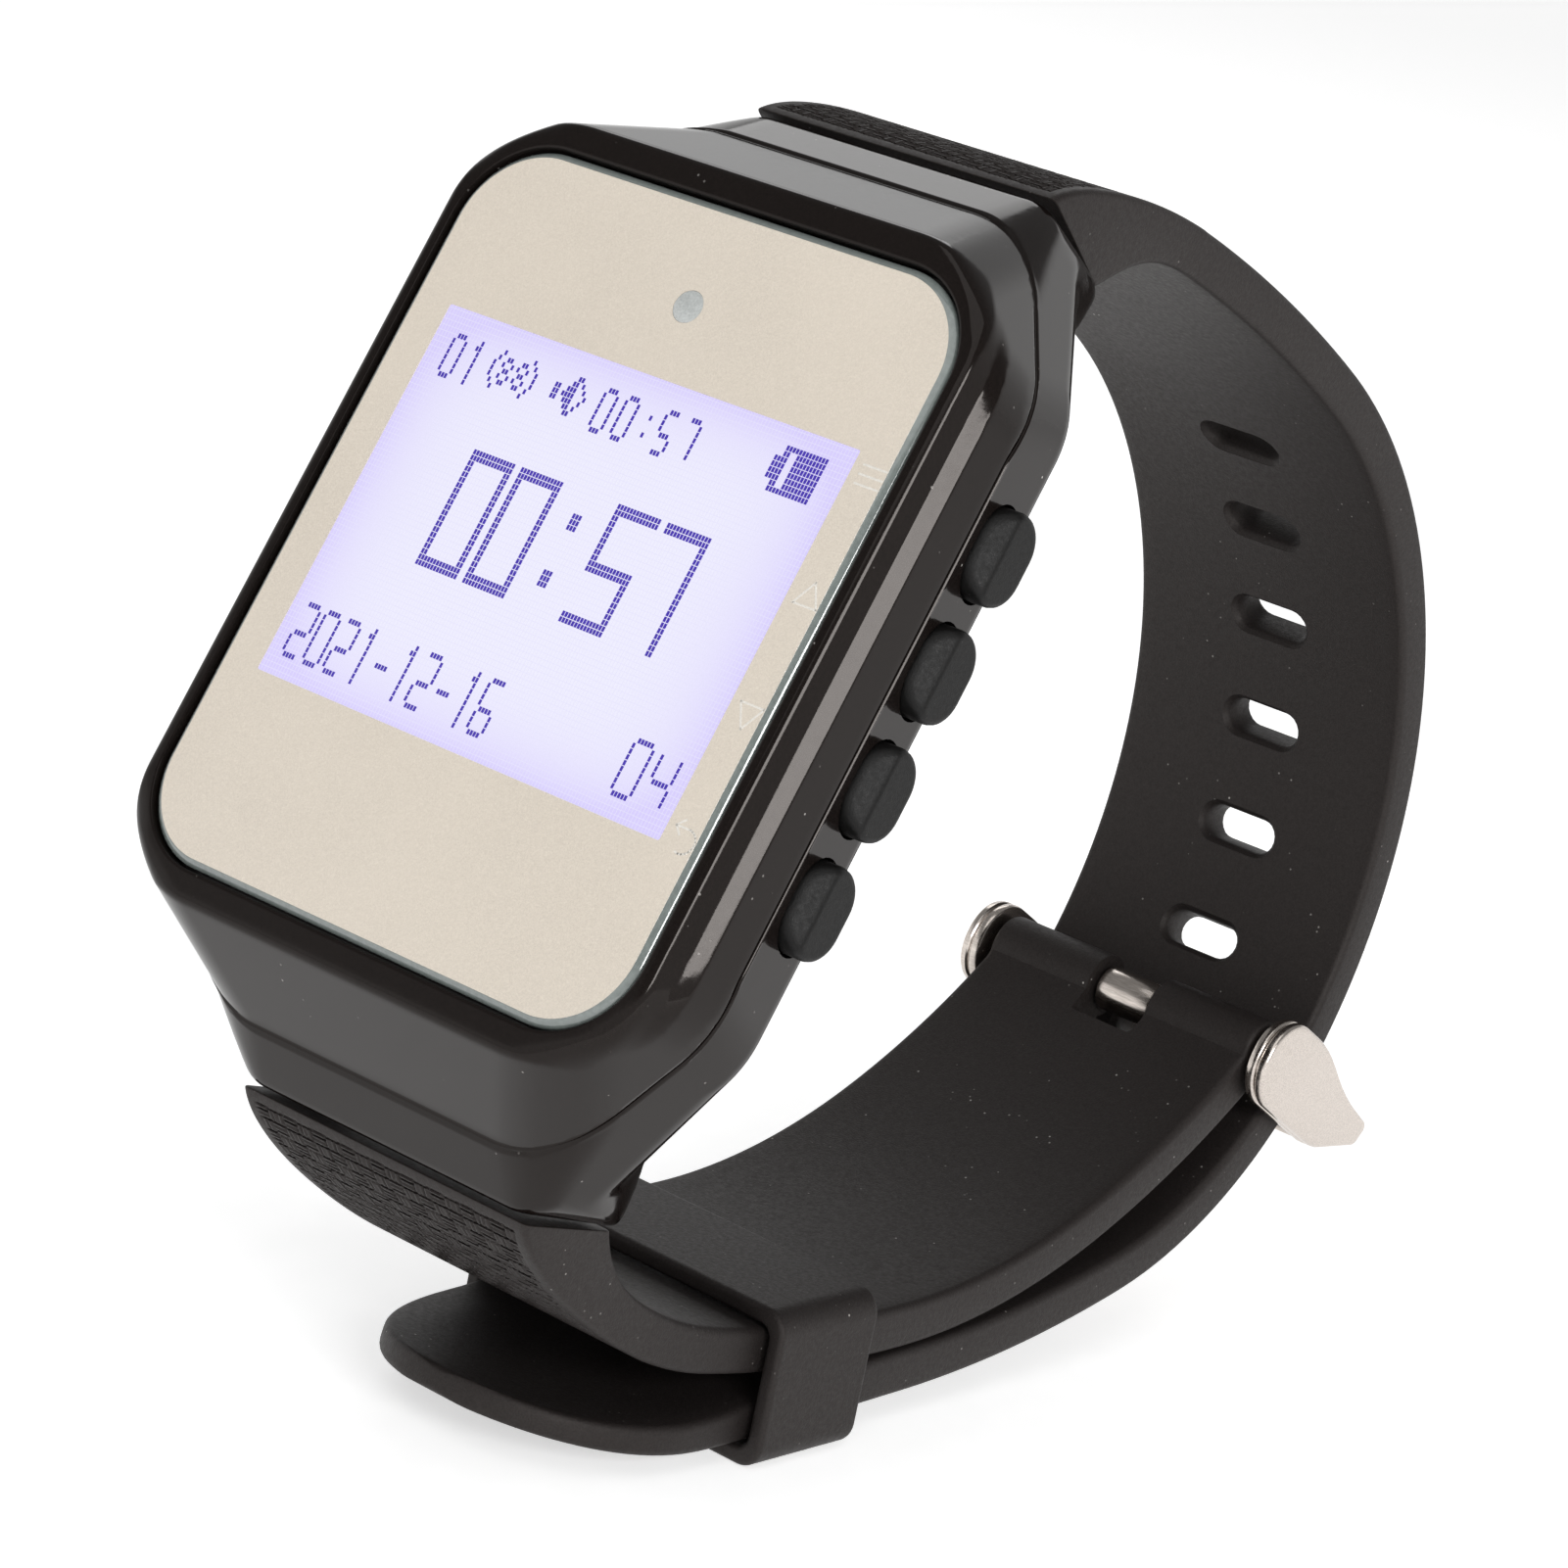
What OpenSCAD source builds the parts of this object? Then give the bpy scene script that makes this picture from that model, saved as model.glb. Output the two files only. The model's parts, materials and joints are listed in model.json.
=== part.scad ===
// Wrist pager: a watch-style call receiver, buckled closed and standing on the flat of its strap keeper.
// Shapes are drawn in the watch's own frame: X across the wrist band towards the buttons, Y towards
// 12 o'clock, Z out of the display, zero at the middle of the glass. placed() then leans the watch
// back and sets it on the table.

/* [Case] */
// Width of the case over its side walls
case_w = 37; // [36.6:0.1:37.6]
// Length of the flat top rim of the case
rim_l = 44; // [43.4:0.1:44.6]
// Depth of the case from the glass to the back
case_d = 12.1; // [11.9:0.1:12.4]
// Depth of the joint between bezel and rear shell along the sides
joint_z = 4.4; // [4.2:0.1:4.6]
// Depth of that joint at the strap ends
joint_end_z = 6.6; // [6.4:0.1:6.8]

/* [Display] */
// Width of the cover glass
glass_w = 32.4; // [32:0.1:32.8]
// Length of the cover glass
glass_l = 40.6; // [40:0.1:41]
// Thickness of the cover glass
glass_t = 1; // [0.9:0.05:1.1]
// Width of the clear LCD window in the mirror film
window_w = 27.3; // [26:0.1:28]
// Height of the clear LCD window
window_h = 20.9; // [20:0.1:21.5]
// Distance of the message lamp from the middle of the glass
lamp_y = 14.85; // [14.5:0.05:15.2]

/* [Buttons] */
// Distance between neighbouring buttons
button_pitch = 6.37; // [6.2:0.01:6.5]
// Length of a button cap along the case
button_l = 4.9; // [4.6:0.1:5.2]
// Height of a button cap
button_h = 3.6; // [3.2:0.1:3.8]
// How far the caps stand out from the middle of the watch
button_reach = 19.3; // [19:0.1:19.6]

/* [Strap] */
// Width of the strap where it meets the case
lug_w = 20; // [19.8:0.1:20.4]
// Width of the strap band
band_w = 19.1; // [18.6:0.1:19.3]
// Thickness of the strap band
band_t = 2.6; // [2.3:0.1:2.7]
// Distance along the long strap to its first adjustment slot
slot_first = 40.4; // [38:0.1:42]
// Distance between adjustment slots
slot_pitch = 6.91; // [6.8:0.01:7]
// Number of adjustment slots
slot_count = 10; // [8:1:11]

/* [Hidden] */
$fn = 48;

// Layers below the glass, as depths under its outer face
film_t = 0.12;
ledge_z = 1.3;
ledge_t = 0.9;
lcd_top = 1.22;
lcd_bottom = 2.5;
light_bottom = 3.5;
board_top = 3.9;
board_bottom = 4.7;
floor_z = 10.9;
window_x = 0.1;
window_y = 0.54;
lcd_w = 30;
lcd_l = 24.4;
lamp_x = 0.27;
lamp_r = 0.85;
case_half = case_w / 2;
rim_half = rim_l / 2;
button_z = 7.2;
button_mid = 0.36;
screw_x = 11.6;
screw_y = 18.6;
board_screw_x = 14.3;
board_screw_y = 15.3;
motor_y = -17.9;
motor_z = 8.3;

// Lug pins and strap ends
lug_y = 25.4;
lug_z = -13;
pin_r = 0.75;
pin_clear = 0.03;
pin_reach = 9.3;
knuckle_r = 2;
knuckle_half = 8.1;

// Strap centre lines as chains of tangent arcs: [radius, sweep], or [0, length] for a straight
long_start = [28, -10.6, -58.5];
long_arcs = [[29.6, -23.8], [105, -11.1], [31.1, -44], [29, -45.6], [23.3, -46], [85.3, -12.9],
    [0, 13.8], [48, -16.6]];
short_start = [-27, -11.6, -119];
short_arcs = [[28.8, 15.3], [21.8, 29.7], [82.4, 11.6], [42.1, 22.7], [54, 15]];
bar_at = [0.65, -66.4];
barrel_r = 1.9;
slot_l = 5;
slot_w = 2;

// Buckle
arm_in = 10;
arm_t = 1.3;
fin_tip = [0.45, -78.2];
tongue_w = 3.8;
bar_half = arm_in + arm_t - 0.4;

// Keeper loop, centred on the pair of strap halves
keeper_at = [-28.4, -38];
keeper_turn = -63.5;
keeper_l = 8.1;
keeper_wall = 1;
keeper_in_h = 6.9;
keeper_in_w = 19.8;
keeper_r = 1;
keeper_half_h = keeper_in_h / 2 + keeper_wall;

// ---- Geometry helpers ----

// Points of a fillet of radius r at corner b between points a and c
function fillet(a, b, c, r) =
    let (u = (a - b) / norm(a - b), v = (c - b) / norm(c - b))
    let (half = acos(u * v) / 2, t = r / tan(half), m = (u + v) / norm(u + v))
    let (q = b + m * (r / sin(half)), p0 = b + u * t - q, p1 = b + v * t - q)
    let (a0 = atan2(p0.y, p0.x), raw = atan2(p1.y, p1.x) - a0)
    let (sweep = raw > 180 ? raw - 360 : raw < -180 ? raw + 360 : raw, n = max(2, ceil(abs(sweep) / 9)))
    [for (i = [0:n]) q + r * [cos(a0 + sweep * i / n), sin(a0 + sweep * i / n)]];

// Closed outline through corners [x, y, radius]
function rounded(corners) =
    let (n = len(corners))
    [for (i = [0:n - 1])
        let (a = corners[(i + n - 1) % n], b = corners[i], c = corners[(i + 1) % n])
        each (b.z > 0 ? fillet([a.x, a.y], [b.x, b.y], [c.x, c.y], b.z) : [[b.x, b.y]])];

// Corners of one quadrant, mirrored to the other three
function four_ways(corners) =
    let (n = len(corners))
    concat(corners, [for (i = [n - 1:-1:0]) [-corners[i].x, corners[i].y, corners[i].z]],
        [for (c = corners) [-c.x, -c.y, c.z]],
        [for (i = [n - 1:-1:0]) [corners[i].x, -corners[i].y, corners[i].z]]);

// Corners of one half, mirrored about the second axis
function two_ways(corners) =
    let (n = len(corners))
    concat(corners, [for (i = [n - 1:-1:0]) [-corners[i].x, corners[i].y, corners[i].z]]);

function rect(w, h, r) = four_ways([[w / 2, h / 2, r]]);

// Next state [y, z, heading] after one arc of a chain
function after(s, a, part = 1) = a[0] == 0
    ? [s.x + part * a[1] * cos(s.z), s.y + part * a[1] * sin(s.z), s.z]
    : let (k = sign(a[1]) * a[0], h = s.z + part * a[1])
        [s.x + k * (sin(h) - sin(s.z)), s.y - k * (cos(h) - cos(s.z)), h];

// States along a whole chain, every 4 degrees of turn
function chain(s, arcs, i = 0) = i == len(arcs)
    ? [s]
    : let (n = arcs[i][0] == 0 ? 1 : max(1, ceil(abs(arcs[i][1]) / 4)))
        concat([for (j = [0:n - 1]) after(s, arcs[i], j / n)], chain(after(s, arcs[i]), arcs, i + 1));

function arc_length(a) = a[0] == 0 ? a[1] : a[0] * abs(a[1]) * PI / 180;

// State at a distance along a chain
function along(s, arcs, d, i = 0) = d <= arc_length(arcs[i]) || i == len(arcs) - 1
    ? after(s, arcs[i], d / arc_length(arcs[i]))
    : along(after(s, arcs[i]), arcs, d - arc_length(arcs[i]), i + 1);

function side(s, d) = [s.x - d * sin(s.z), s.y + d * cos(s.z)];

// Outline of a band of constant thickness around a chain
function band(states, t) =
    let (n = len(states))
    concat([for (s = states) side(s, t / 2)], [for (i = [n - 1:-1:0]) side(states[i], -t / 2)]);

// Extrudes an outline given in Y and Z across the watch, from x0 to x1
module across(x0, x1) {
    translate([x0, 0, 0])
        rotate([90, 0, 90])
            linear_extrude(x1 - x0)
                children();
}

// Extrudes an outline given in X and Z along the watch
module lengthwise(half) {
    translate([0, half, 0])
        rotate([90, 0, 0])
            linear_extrude(2 * half)
                children();
}

// Extrudes an outline given in X and Y between two depths under the glass
module layer(top, bottom) {
    translate([0, 0, -bottom])
        linear_extrude(bottom - top)
            children();
}

// A round bar of radius r across the watch at [y, z]
module bar(at, r, x0, x1) {
    translate([x0, at.x, at.y])
        rotate([0, 90, 0])
            cylinder(r = r, h = x1 - x0);
}

// Puts children at a strap state, with their Y along the strap
module on_strap(s) {
    translate([0, s.x, s.y])
        rotate([s.z, 0, 0])
            children();
}

// ---- Resting pose ----

// The keeper's outer face lies flat on the table
lean = -keeper_turn;
table = keeper_at.x * sin(lean) + keeper_at.y * cos(lean) - keeper_half_h;

module placed() {
    front = min([for (p = rounded(side_corners)) p.x * cos(lean) - p.y * sin(lean)]);
    back = max([for (p = rounded(fin_corners)) p.x * cos(lean) - p.y * sin(lean)]);
    translate([(case_half - button_reach) / 2, -(front + back) / 2, -table])
        rotate([lean, 0, 0])
            children();
}

// ---- Case ----

plan_corners = four_ways([[case_half, 16.6, 7], [lug_w / 2 + 0.1, 28.4, 0.8]]);
side_corners = two_ways([[rim_half, 0, 0.5], [25.7, -6.5, 6], [28.2, -9.6, 0.5], [26.4, -16.1, 0.8],
    [24.6, -15.9, 1.5], [20.6, -case_d, 5]]);
front_corners = two_ways([[17.8, 0, 0.5], [case_half, -3.8, 3], [17.7, -9.4, 1.2], [12.4, -12.2, 1],
    [9.9, -17, 0.3]]);
cavity_corners = four_ways([[16.9, 15.6, 6], [12.6, 21.6, 2]]);

// Planes that blend the end slopes into the cut-back corners: direction turned from X, then the rise
// and reach of the plane above the joint and of the steeper one below it
corner_turn = 60.7;
corner_planes = [[16.7, 24.35], [35, 18.7]];

module corner_blend() {
    for (mx = [0, 1], my = [0, 1])
        mirror([mx, 0, 0])
            mirror([0, my, 0])
                intersection_for(p = corner_planes)
                    rotate([0, -p[0], corner_turn])
                        translate([p[1], -30, -40])
                            cube([20, 60, 80]);
}

module case_body() {
    difference() {
        intersection() {
            layer(-1, 17) polygon(rounded(plan_corners));
            across(-case_w, case_w) polygon(rounded(side_corners));
            lengthwise(30) polygon(rounded(front_corners));
        }
        corner_blend();
    }
}

// Everything above the joint between the two shells
module above_joint() {
    across(-case_w, case_w)
        polygon([[-30, 1], [-30, -joint_end_z], [-25.8, -joint_end_z], [-14, -joint_z],
            [14, -joint_z], [25.8, -joint_end_z], [30, -joint_end_z], [30, 1]]);
}

module screw_places() {
    for (x = [-screw_x, screw_x], y = [-screw_y, screw_y])
        translate([x, y, 0])
            children();
}

module board_screw_places() {
    for (x = [-board_screw_x, board_screw_x], y = [-board_screw_y, board_screw_y])
        translate([x, y, 0])
            children();
}

boss_bottom = 6;
boss_r = 1.7;
board_boss_r = 1.3;
screw_r = 0.8;
screw_head_r = 1.5;
board_screw_r = 0.6;

// Openings under the glass for the display and the message lamp
module ledge_window() {
    translate([0, window_y]) polygon(rounded(rect(lcd_w + 0.4, lcd_l + 0.4, 0.5)));
    translate([lamp_x, lamp_y]) circle(r = lamp_r + 0.15);
}

module front_bezel() {
    placed() color("#1c1b1b")
        difference() {
            union() {
                difference() {
                    intersection() {
                        case_body();
                        above_joint();
                    }
                    layer(-1, ledge_z) polygon(rounded(rect(glass_w + 0.3, glass_l + 0.3, 4.95)));
                    layer(0, ledge_z + ledge_t) ledge_window();
                    layer(ledge_z + ledge_t, 12) polygon(rounded(cavity_corners));
                }
                screw_places() translate([0, 0, -boss_bottom]) cylinder(r = boss_r, h = boss_bottom - 2);
                board_screw_places()
                    translate([0, 0, -board_top]) cylinder(r = board_boss_r, h = board_top - 2);
            }
            screw_places() translate([0, 0, -boss_bottom - 1]) cylinder(r = screw_r, h = boss_bottom - 2);
            board_screw_places() translate([0, 0, -board_top - 1]) cylinder(r = board_screw_r, h = 2.9);
        }
}

module stadium(l, h) {
    polygon(rounded(rect(l, h, h / 2 - 0.01)));
}

// Children at each button, with X out of the case wall
module button_place(i) {
    translate([0, button_mid + button_pitch * (1.5 - i), -button_z])
        children();
}

module button_hole() {
    rotate([90, 0, 90])
        linear_extrude(30)
            stadium(button_l + 0.3, button_h + 0.3);
}

speaker_y = 16.4;
speaker_r = 3.9;
contact_r = 0.98;
sound_hole_r = 0.45;

module contact_places() {
    for (x = [-3, 3])
        translate([x, -6, 0])
            children();
}

module rear_shell() {
    placed() color("#211f1f")
        difference() {
            union() {
                difference() {
                    case_body();
                    above_joint();
                    layer(joint_z - 1, 9.25) polygon(rounded(cavity_corners));
                    layer(8, floor_z) polygon(rounded(four_ways([[14.2, 15, 4], [10.6, 20.6, 2]])));
                }
                screw_places()
                    translate([0, 0, -floor_z - 0.5]) cylinder(r = boss_r, h = floor_z - boss_bottom + 0.4);
            }
            for (i = [0:3]) button_place(i) button_hole();
            screw_places() translate([0, 0, -case_d - 1]) cylinder(r = screw_r + 0.1, h = 9);
            screw_places() translate([0, 0, -case_d - 1]) cylinder(r = screw_head_r + 0.1, h = 2.1);
            for (a = [0:72:359])
                translate([2 * cos(a), speaker_y + 2 * sin(a), -case_d - 1])
                    cylinder(r = sound_hole_r, h = 3);
            contact_places() translate([0, 0, -case_d - 1]) cylinder(r = contact_r + 0.02, h = 3);
            for (m = [0, 1]) mirror([0, m, 0]) {
                translate([-knuckle_half - 0.2, lug_y - knuckle_r - 0.2, -20])
                    cube([2 * knuckle_half + 0.4, 8, 20 + lug_z + knuckle_r + 0.2]);
                bar([lug_y, lug_z], pin_r + pin_clear, -pin_reach - 0.1, pin_reach + 0.1);
            }
        }
}

module case_screws() {
    placed() color("#b9b6b0")
        screw_places() difference() {
            union() {
                translate([0, 0, -case_d + 0.1]) cylinder(r = screw_head_r, h = 0.9);
                translate([0, 0, -case_d + 0.9]) cylinder(r = screw_r, h = case_d - 4);
            }
            for (a = [0, 90])
                rotate([0, 0, a]) translate([-1, -0.15, -case_d]) cube([2, 0.3, 0.5]);
        }
}

// ---- Display ----

module cover_glass() {
    placed() color("#cfcac0", 0.4)
        layer(0, glass_t) polygon(rounded(rect(glass_w, glass_l, 4.8)));
}

module mirror_film() {
    placed() color("#d9d0c0")
        layer(glass_t, glass_t + film_t)
            difference() {
                polygon(rounded(rect(glass_w - 0.6, glass_l - 0.6, 4.5)));
                translate([window_x, window_y]) square([window_w, window_h], center = true);
                translate([lamp_x, lamp_y]) circle(r = lamp_r + 0.1);
            }
}

module glass_gasket() {
    placed() color("#2b2b2b")
        layer(glass_t + film_t, ledge_z)
            difference() {
                polygon(rounded(rect(glass_w - 0.2, glass_l - 0.2, 4.7)));
                ledge_window();
            }
}

module lcd_panel() {
    placed() color("#e6e2fb")
        layer(lcd_top, lcd_bottom)
            translate([0, window_y]) square([lcd_w, lcd_l], center = true);
}

module lcd_backlight() {
    placed() color("#f4f2ff")
        layer(lcd_bottom, light_bottom)
            translate([0, window_y]) square([lcd_w - 0.6, lcd_l - 0.6], center = true);
}

module lcd_holder() {
    placed() color("#efeee9")
        difference() {
            layer(lcd_bottom, board_top)
                translate([0, window_y]) square([lcd_w + 1.2, lcd_l + 1.2], center = true);
            layer(lcd_bottom - 1, light_bottom)
                translate([0, window_y]) square([lcd_w - 0.4, lcd_l - 0.4], center = true);
        }
}

// Where the flex turns down past the holder, its level at the glass and its thickness
flex_turn = -13.2;
flex_z = -2.3;
flex_t = 0.15;

module lcd_flex() {
    lcd_edge = window_y - lcd_l / 2;
    placed() color("#b97a2e")
        across(-6, 6)
            polygon(rounded([[lcd_edge, flex_z, 0], [flex_turn, flex_z, 0.5], [flex_turn, -board_top, 0],
                [flex_turn + flex_t, -board_top, 0], [flex_turn + flex_t, flex_z - flex_t, 0.35],
                [lcd_edge, flex_z - flex_t, 0]]));
}

module lamp_light_pipe() {
    placed() color("#c9d0d4")
        translate([lamp_x, lamp_y, -board_top]) cylinder(r = lamp_r, h = board_top - glass_t - 0.02);
}

// ---- Electronics ----

module main_board() {
    placed() color("#1f6b3a")
        difference() {
            layer(board_top, board_bottom)
                polygon(rounded(rect(31.8, 33, 1)));
            board_screw_places()
                translate([0, 0, -board_bottom - 1]) cylinder(r = board_screw_r + 0.2, h = 3);
        }
}

module board_screws() {
    placed() color("#c6c2ba")
        board_screw_places() {
            translate([0, 0, -board_bottom - 0.6]) cylinder(r = 1.1, h = 0.6);
            translate([0, 0, -board_bottom]) cylinder(r = board_screw_r, h = 2.4);
        }
}

// Chips on the underside of the board: [x, y, width, length, height]
chips = [[5, 7, 6, 6, 0.9], [5, -1.5, 4.5, 4.5, 0.8], [-11, -6, 3.2, 2.5, 0.7], [2, -9.5, 3.2, 5, 1.1],
    [-2.5, 13.3, 2, 1.2, 0.6], [9, 13.3, 2, 1.2, 0.6], [-12, 12.4, 2.4, 1.6, 0.8]];

module board_chips() {
    placed() color("#26262a")
        for (c = chips)
            translate([c[0] - c[2] / 2, c[1] - c[3] / 2, -board_bottom - c[4]])
                cube([c[2], c[3], c[4]]);
}

can_w = 12;
can_h = 1.6;
can_t = 0.2;

// Tinplate lid over the radio, open towards the board
module shield_can() {
    placed() color("#b4b8bb")
        translate([-can_w, -3, -board_bottom - can_h]) difference() {
            cube([can_w, can_w, can_h]);
            translate([can_t, can_t, can_t]) cube([can_w - 2 * can_t, can_w - 2 * can_t, can_h]);
        }
}

module battery() {
    placed() color("#c9cdd2")
        layer(7.2, floor_z - 0.2)
            translate([-1.5, -1]) polygon(rounded(rect(23, 25, 1.5)));
}

module battery_tape() {
    placed() color("#e9e4d0")
        layer(floor_z - 0.2, floor_z)
            translate([-1.5, 4.5]) square([18, 9], center = true);
}

motor_end = 1.5;
motor_l = 8;
motor_r = 1.9;

module vibration_motor() {
    placed() color("#c3c4c6")
        bar([motor_y, -motor_z], motor_r, motor_end - motor_l, motor_end);
}

// Half-round weight on the motor's shaft, hanging down
module motor_weight() {
    placed() color("#8d8f93")
        union() {
            intersection() {
                bar([motor_y, -motor_z], 2.1, motor_end + 0.7, motor_end + 3.5);
                translate([0, motor_y, -motor_z])
                    rotate([270 - lean, 0, 0])
                        translate([0, -0.7, -5]) cube([9, 9, 10]);
            }
            bar([motor_y, -motor_z], 0.5, motor_end + 0.05, motor_end + 3.7);
        }
}

module speaker() {
    placed() color("#3a3a3d")
        translate([0, speaker_y, -floor_z + 0.1]) difference() {
            cylinder(r = speaker_r, h = 2.2);
            translate([0, 0, -1]) cylinder(r = speaker_r - 0.9, h = 1.3);
        }
}

module antenna_strip() {
    placed() color("#c8a24a")
        union() {
            translate([-16.6, -10, -8.4]) cube([0.3, 20, 3.7]);
            translate([-16.6, -10, -board_bottom - 0.3]) cube([2.6, 2, 0.3]);
            translate([-16.6, 8, -board_bottom - 0.3]) cube([2.6, 2, 0.3]);
        }
}

module side_switches() {
    placed() color("#9fa2a6")
        for (i = [0:3]) button_place(i) {
            translate([12.6, -1.8, -1.4]) cube([2.3, 3.6, button_z - board_bottom + 1.4]);
            translate([14, 0, 0]) rotate([0, 90, 0]) cylinder(r = 0.6, h = 1.2);
        }
}

module charge_contacts() {
    placed() color("#d6b25a")
        contact_places()
            translate([0, 0, -case_d]) cylinder(r = contact_r, h = case_d - floor_z + 0.15);
}

// ---- Buttons ----

// The cap's flange, which holds it inside the shell wall
flange_x = 15.6;
flange_t = 0.6;

module button_cap(i) {
    placed() color("#1a1919")
        button_place(i) {
            rotate([90, 0, 90]) translate([0, 0, flange_x + flange_t])
                linear_extrude(button_reach - flange_x - flange_t) stadium(button_l, button_h);
            rotate([90, 0, 90]) translate([0, 0, flange_x])
                linear_extrude(flange_t + 0.1) stadium(button_l + 1.2, button_h);
        }
}

module button_menu() { button_cap(0); }

module button_up() { button_cap(1); }

module button_down() { button_cap(2); }

module button_back() { button_cap(3); }

// ---- Strap ----

long_states = chain(long_start, long_arcs);
short_states = chain(short_start, short_arcs);
long_end = long_states[len(long_states) - 1];

// Thick root that closes against the case, with the knuckle that holds the lug pin
module strap_root() {
    across(-lug_w / 2, lug_w / 2)
        polygon(rounded([[28.5, -9.8, 0], [29.8, -10.8, 0.8], [32.4, -18, 4], [32.4, -24, 0], [31, -24.4, 0],
            [30.4, -21.6, 2], [28.2, -18.2, 1.5], [26.75, -16.5, 0.5]]));
    across(-knuckle_half, knuckle_half)
        polygon([[lug_y, lug_z + knuckle_r], [28.6, -11.2], [28, -15.2], [lug_y, lug_z - knuckle_r]]);
    bar([lug_y, lug_z], knuckle_r, -knuckle_half, knuckle_half);
}

// Space of the case end, kept clear of the strap bands
module end_clearance() {
    across(-12, 12) polygon([[18, -5], [28.5, -9.8], [26.75, -16.5], [18, -22]]);
}

module adjust_slot() {
    end_x = (slot_l - slot_w) / 2;
    for (x = [-end_x, end_x])
        translate([x, 0, -5]) cylinder(d = slot_w, h = 10);
    translate([-end_x, -slot_w / 2, -5]) cube([2 * end_x, slot_w, 10]);
}

module strap_long() {
    placed() color("#3b3736")
        difference() {
            union() {
                difference() {
                    across(-band_w / 2, band_w / 2) polygon(band(long_states, band_t));
                    end_clearance();
                }
                strap_root();
            }
            for (i = [0:slot_count - 1])
                on_strap(along(long_start, long_arcs, slot_first + i * slot_pitch)) adjust_slot();
            on_strap(long_end) tip_corners();
            bar([lug_y, lug_z], pin_r + pin_clear, -10, 10);
        }
}

// What is cut away to leave a round strap tip
module tip_corners() {
    difference() {
        translate([-15, -band_w / 2, -5]) cube([30, band_w, 10]);
        translate([0, -band_w / 2, -6]) cylinder(d = band_w, h = 12, $fn = 96);
        translate([-15, -band_w - 1, -6]) cube([30, band_w / 2 + 1, 12]);
    }
}

module strap_short() {
    placed() color("#3b3736")
        difference() {
            union() {
                difference() {
                    across(-band_w / 2, band_w / 2) polygon(band(short_states, band_t));
                    mirror([0, 1, 0]) end_clearance();
                }
                mirror([0, 1, 0]) strap_root();
                bar(bar_at, barrel_r, -band_w / 2, band_w / 2);
            }
            bar(bar_at, pin_r + pin_clear, -20, 20);
            mirror([0, 1, 0]) bar([lug_y, lug_z], pin_r + pin_clear, -10, 10);
            translate([-tongue_w / 2 - 0.3, bar_at.x - 2.3, bar_at.y - 5]) cube([tongue_w + 0.6, 8, 10]);
        }
}

module lug_bars() {
    placed() color("#bdbab4")
        for (y = [-lug_y, lug_y]) bar([y, lug_z], pin_r, -pin_reach, pin_reach);
}

// ---- Buckle ----

module buckle_bar() {
    placed() color("#c9c5bd")
        bar(bar_at, pin_r, -bar_half, bar_half);
}

fin_corners = [[3.5, -63.6, 2.6], [3.4, -70.5, 3], [1.3, -74.5, 4], [fin_tip.x + 0.2, fin_tip.y, 0.4],
    [-0.9, fin_tip.y + 0.4, 0.6], [-2.6, -73.6, 2], [-2.3, -63.6, 2.6]];
cross_corners = [[-2.45, -73.6, 0.5], [-1.2, -73.2, 0.5], [0.1, -77, 0.5], [-0.95, -77.5, 0.5]];

module buckle_frame() {
    placed() color("#d3cabf")
        difference() {
            union() {
                for (m = [0, 1]) mirror([m, 0, 0])
                    across(arm_in, arm_in + arm_t) polygon(rounded(fin_corners));
                across(-arm_in - 0.5, arm_in + 0.5) polygon(rounded(cross_corners));
            }
            bar(bar_at, pin_r + pin_clear, -bar_half - 0.1, bar_half + 0.1);
        }
}

tongue_r = 1.35;

module buckle_tongue() {
    placed() color("#cfc6bb")
        difference() {
            union() {
                bar(bar_at, tongue_r, -tongue_w / 2, tongue_w / 2);
                across(-0.75, 0.75)
                    polygon(rounded([[0.25, -67.2, 0], [1, -67.2, 0], [0.1, -70.8, 2], [0, -73.8, 0.3],
                        [-0.65, -73.8, 0.3], [-0.65, -70.8, 2]]));
            }
            bar(bar_at, pin_r + pin_clear, -20, 20);
        }
}

// ---- Keeper ----

module keeper_loop() {
    placed() color("#35312f")
        translate([0, keeper_at.x, keeper_at.y])
            rotate([keeper_turn, 0, 0])
                lengthwise(keeper_l / 2)
                    difference() {
                        polygon(rounded(rect(keeper_in_w + 2 * keeper_wall, 2 * keeper_half_h, keeper_r)));
                        polygon(rounded(rect(keeper_in_w, keeper_in_h, 0.4)));
                    }
}

front_bezel();
rear_shell();
cover_glass();
mirror_film();
glass_gasket();
lcd_panel();
lcd_backlight();
lcd_holder();
lcd_flex();
lamp_light_pipe();
main_board();
board_chips();
shield_can();
battery();
battery_tape();
vibration_motor();
motor_weight();
speaker();
antenna_strip();
side_switches();
button_menu();
button_up();
button_down();
button_back();
case_screws();
board_screws();
charge_contacts();
strap_long();
strap_short();
lug_bars();
buckle_bar();
buckle_frame();
buckle_tongue();
keeper_loop();
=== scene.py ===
"""Wrist pager, buckled closed and standing on its strap keeper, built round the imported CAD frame.

Shapes are made in the watch's own frame in millimetres: X across the band towards the buttons,
Y towards 12 o'clock, Z out of the display, zero at the middle of the glass. to_row() places them
in the CAD's row frame, in metres.
"""
import json
import math

import bmesh
import bpy
import numpy as np
from mathutils import Matrix, Vector


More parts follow.
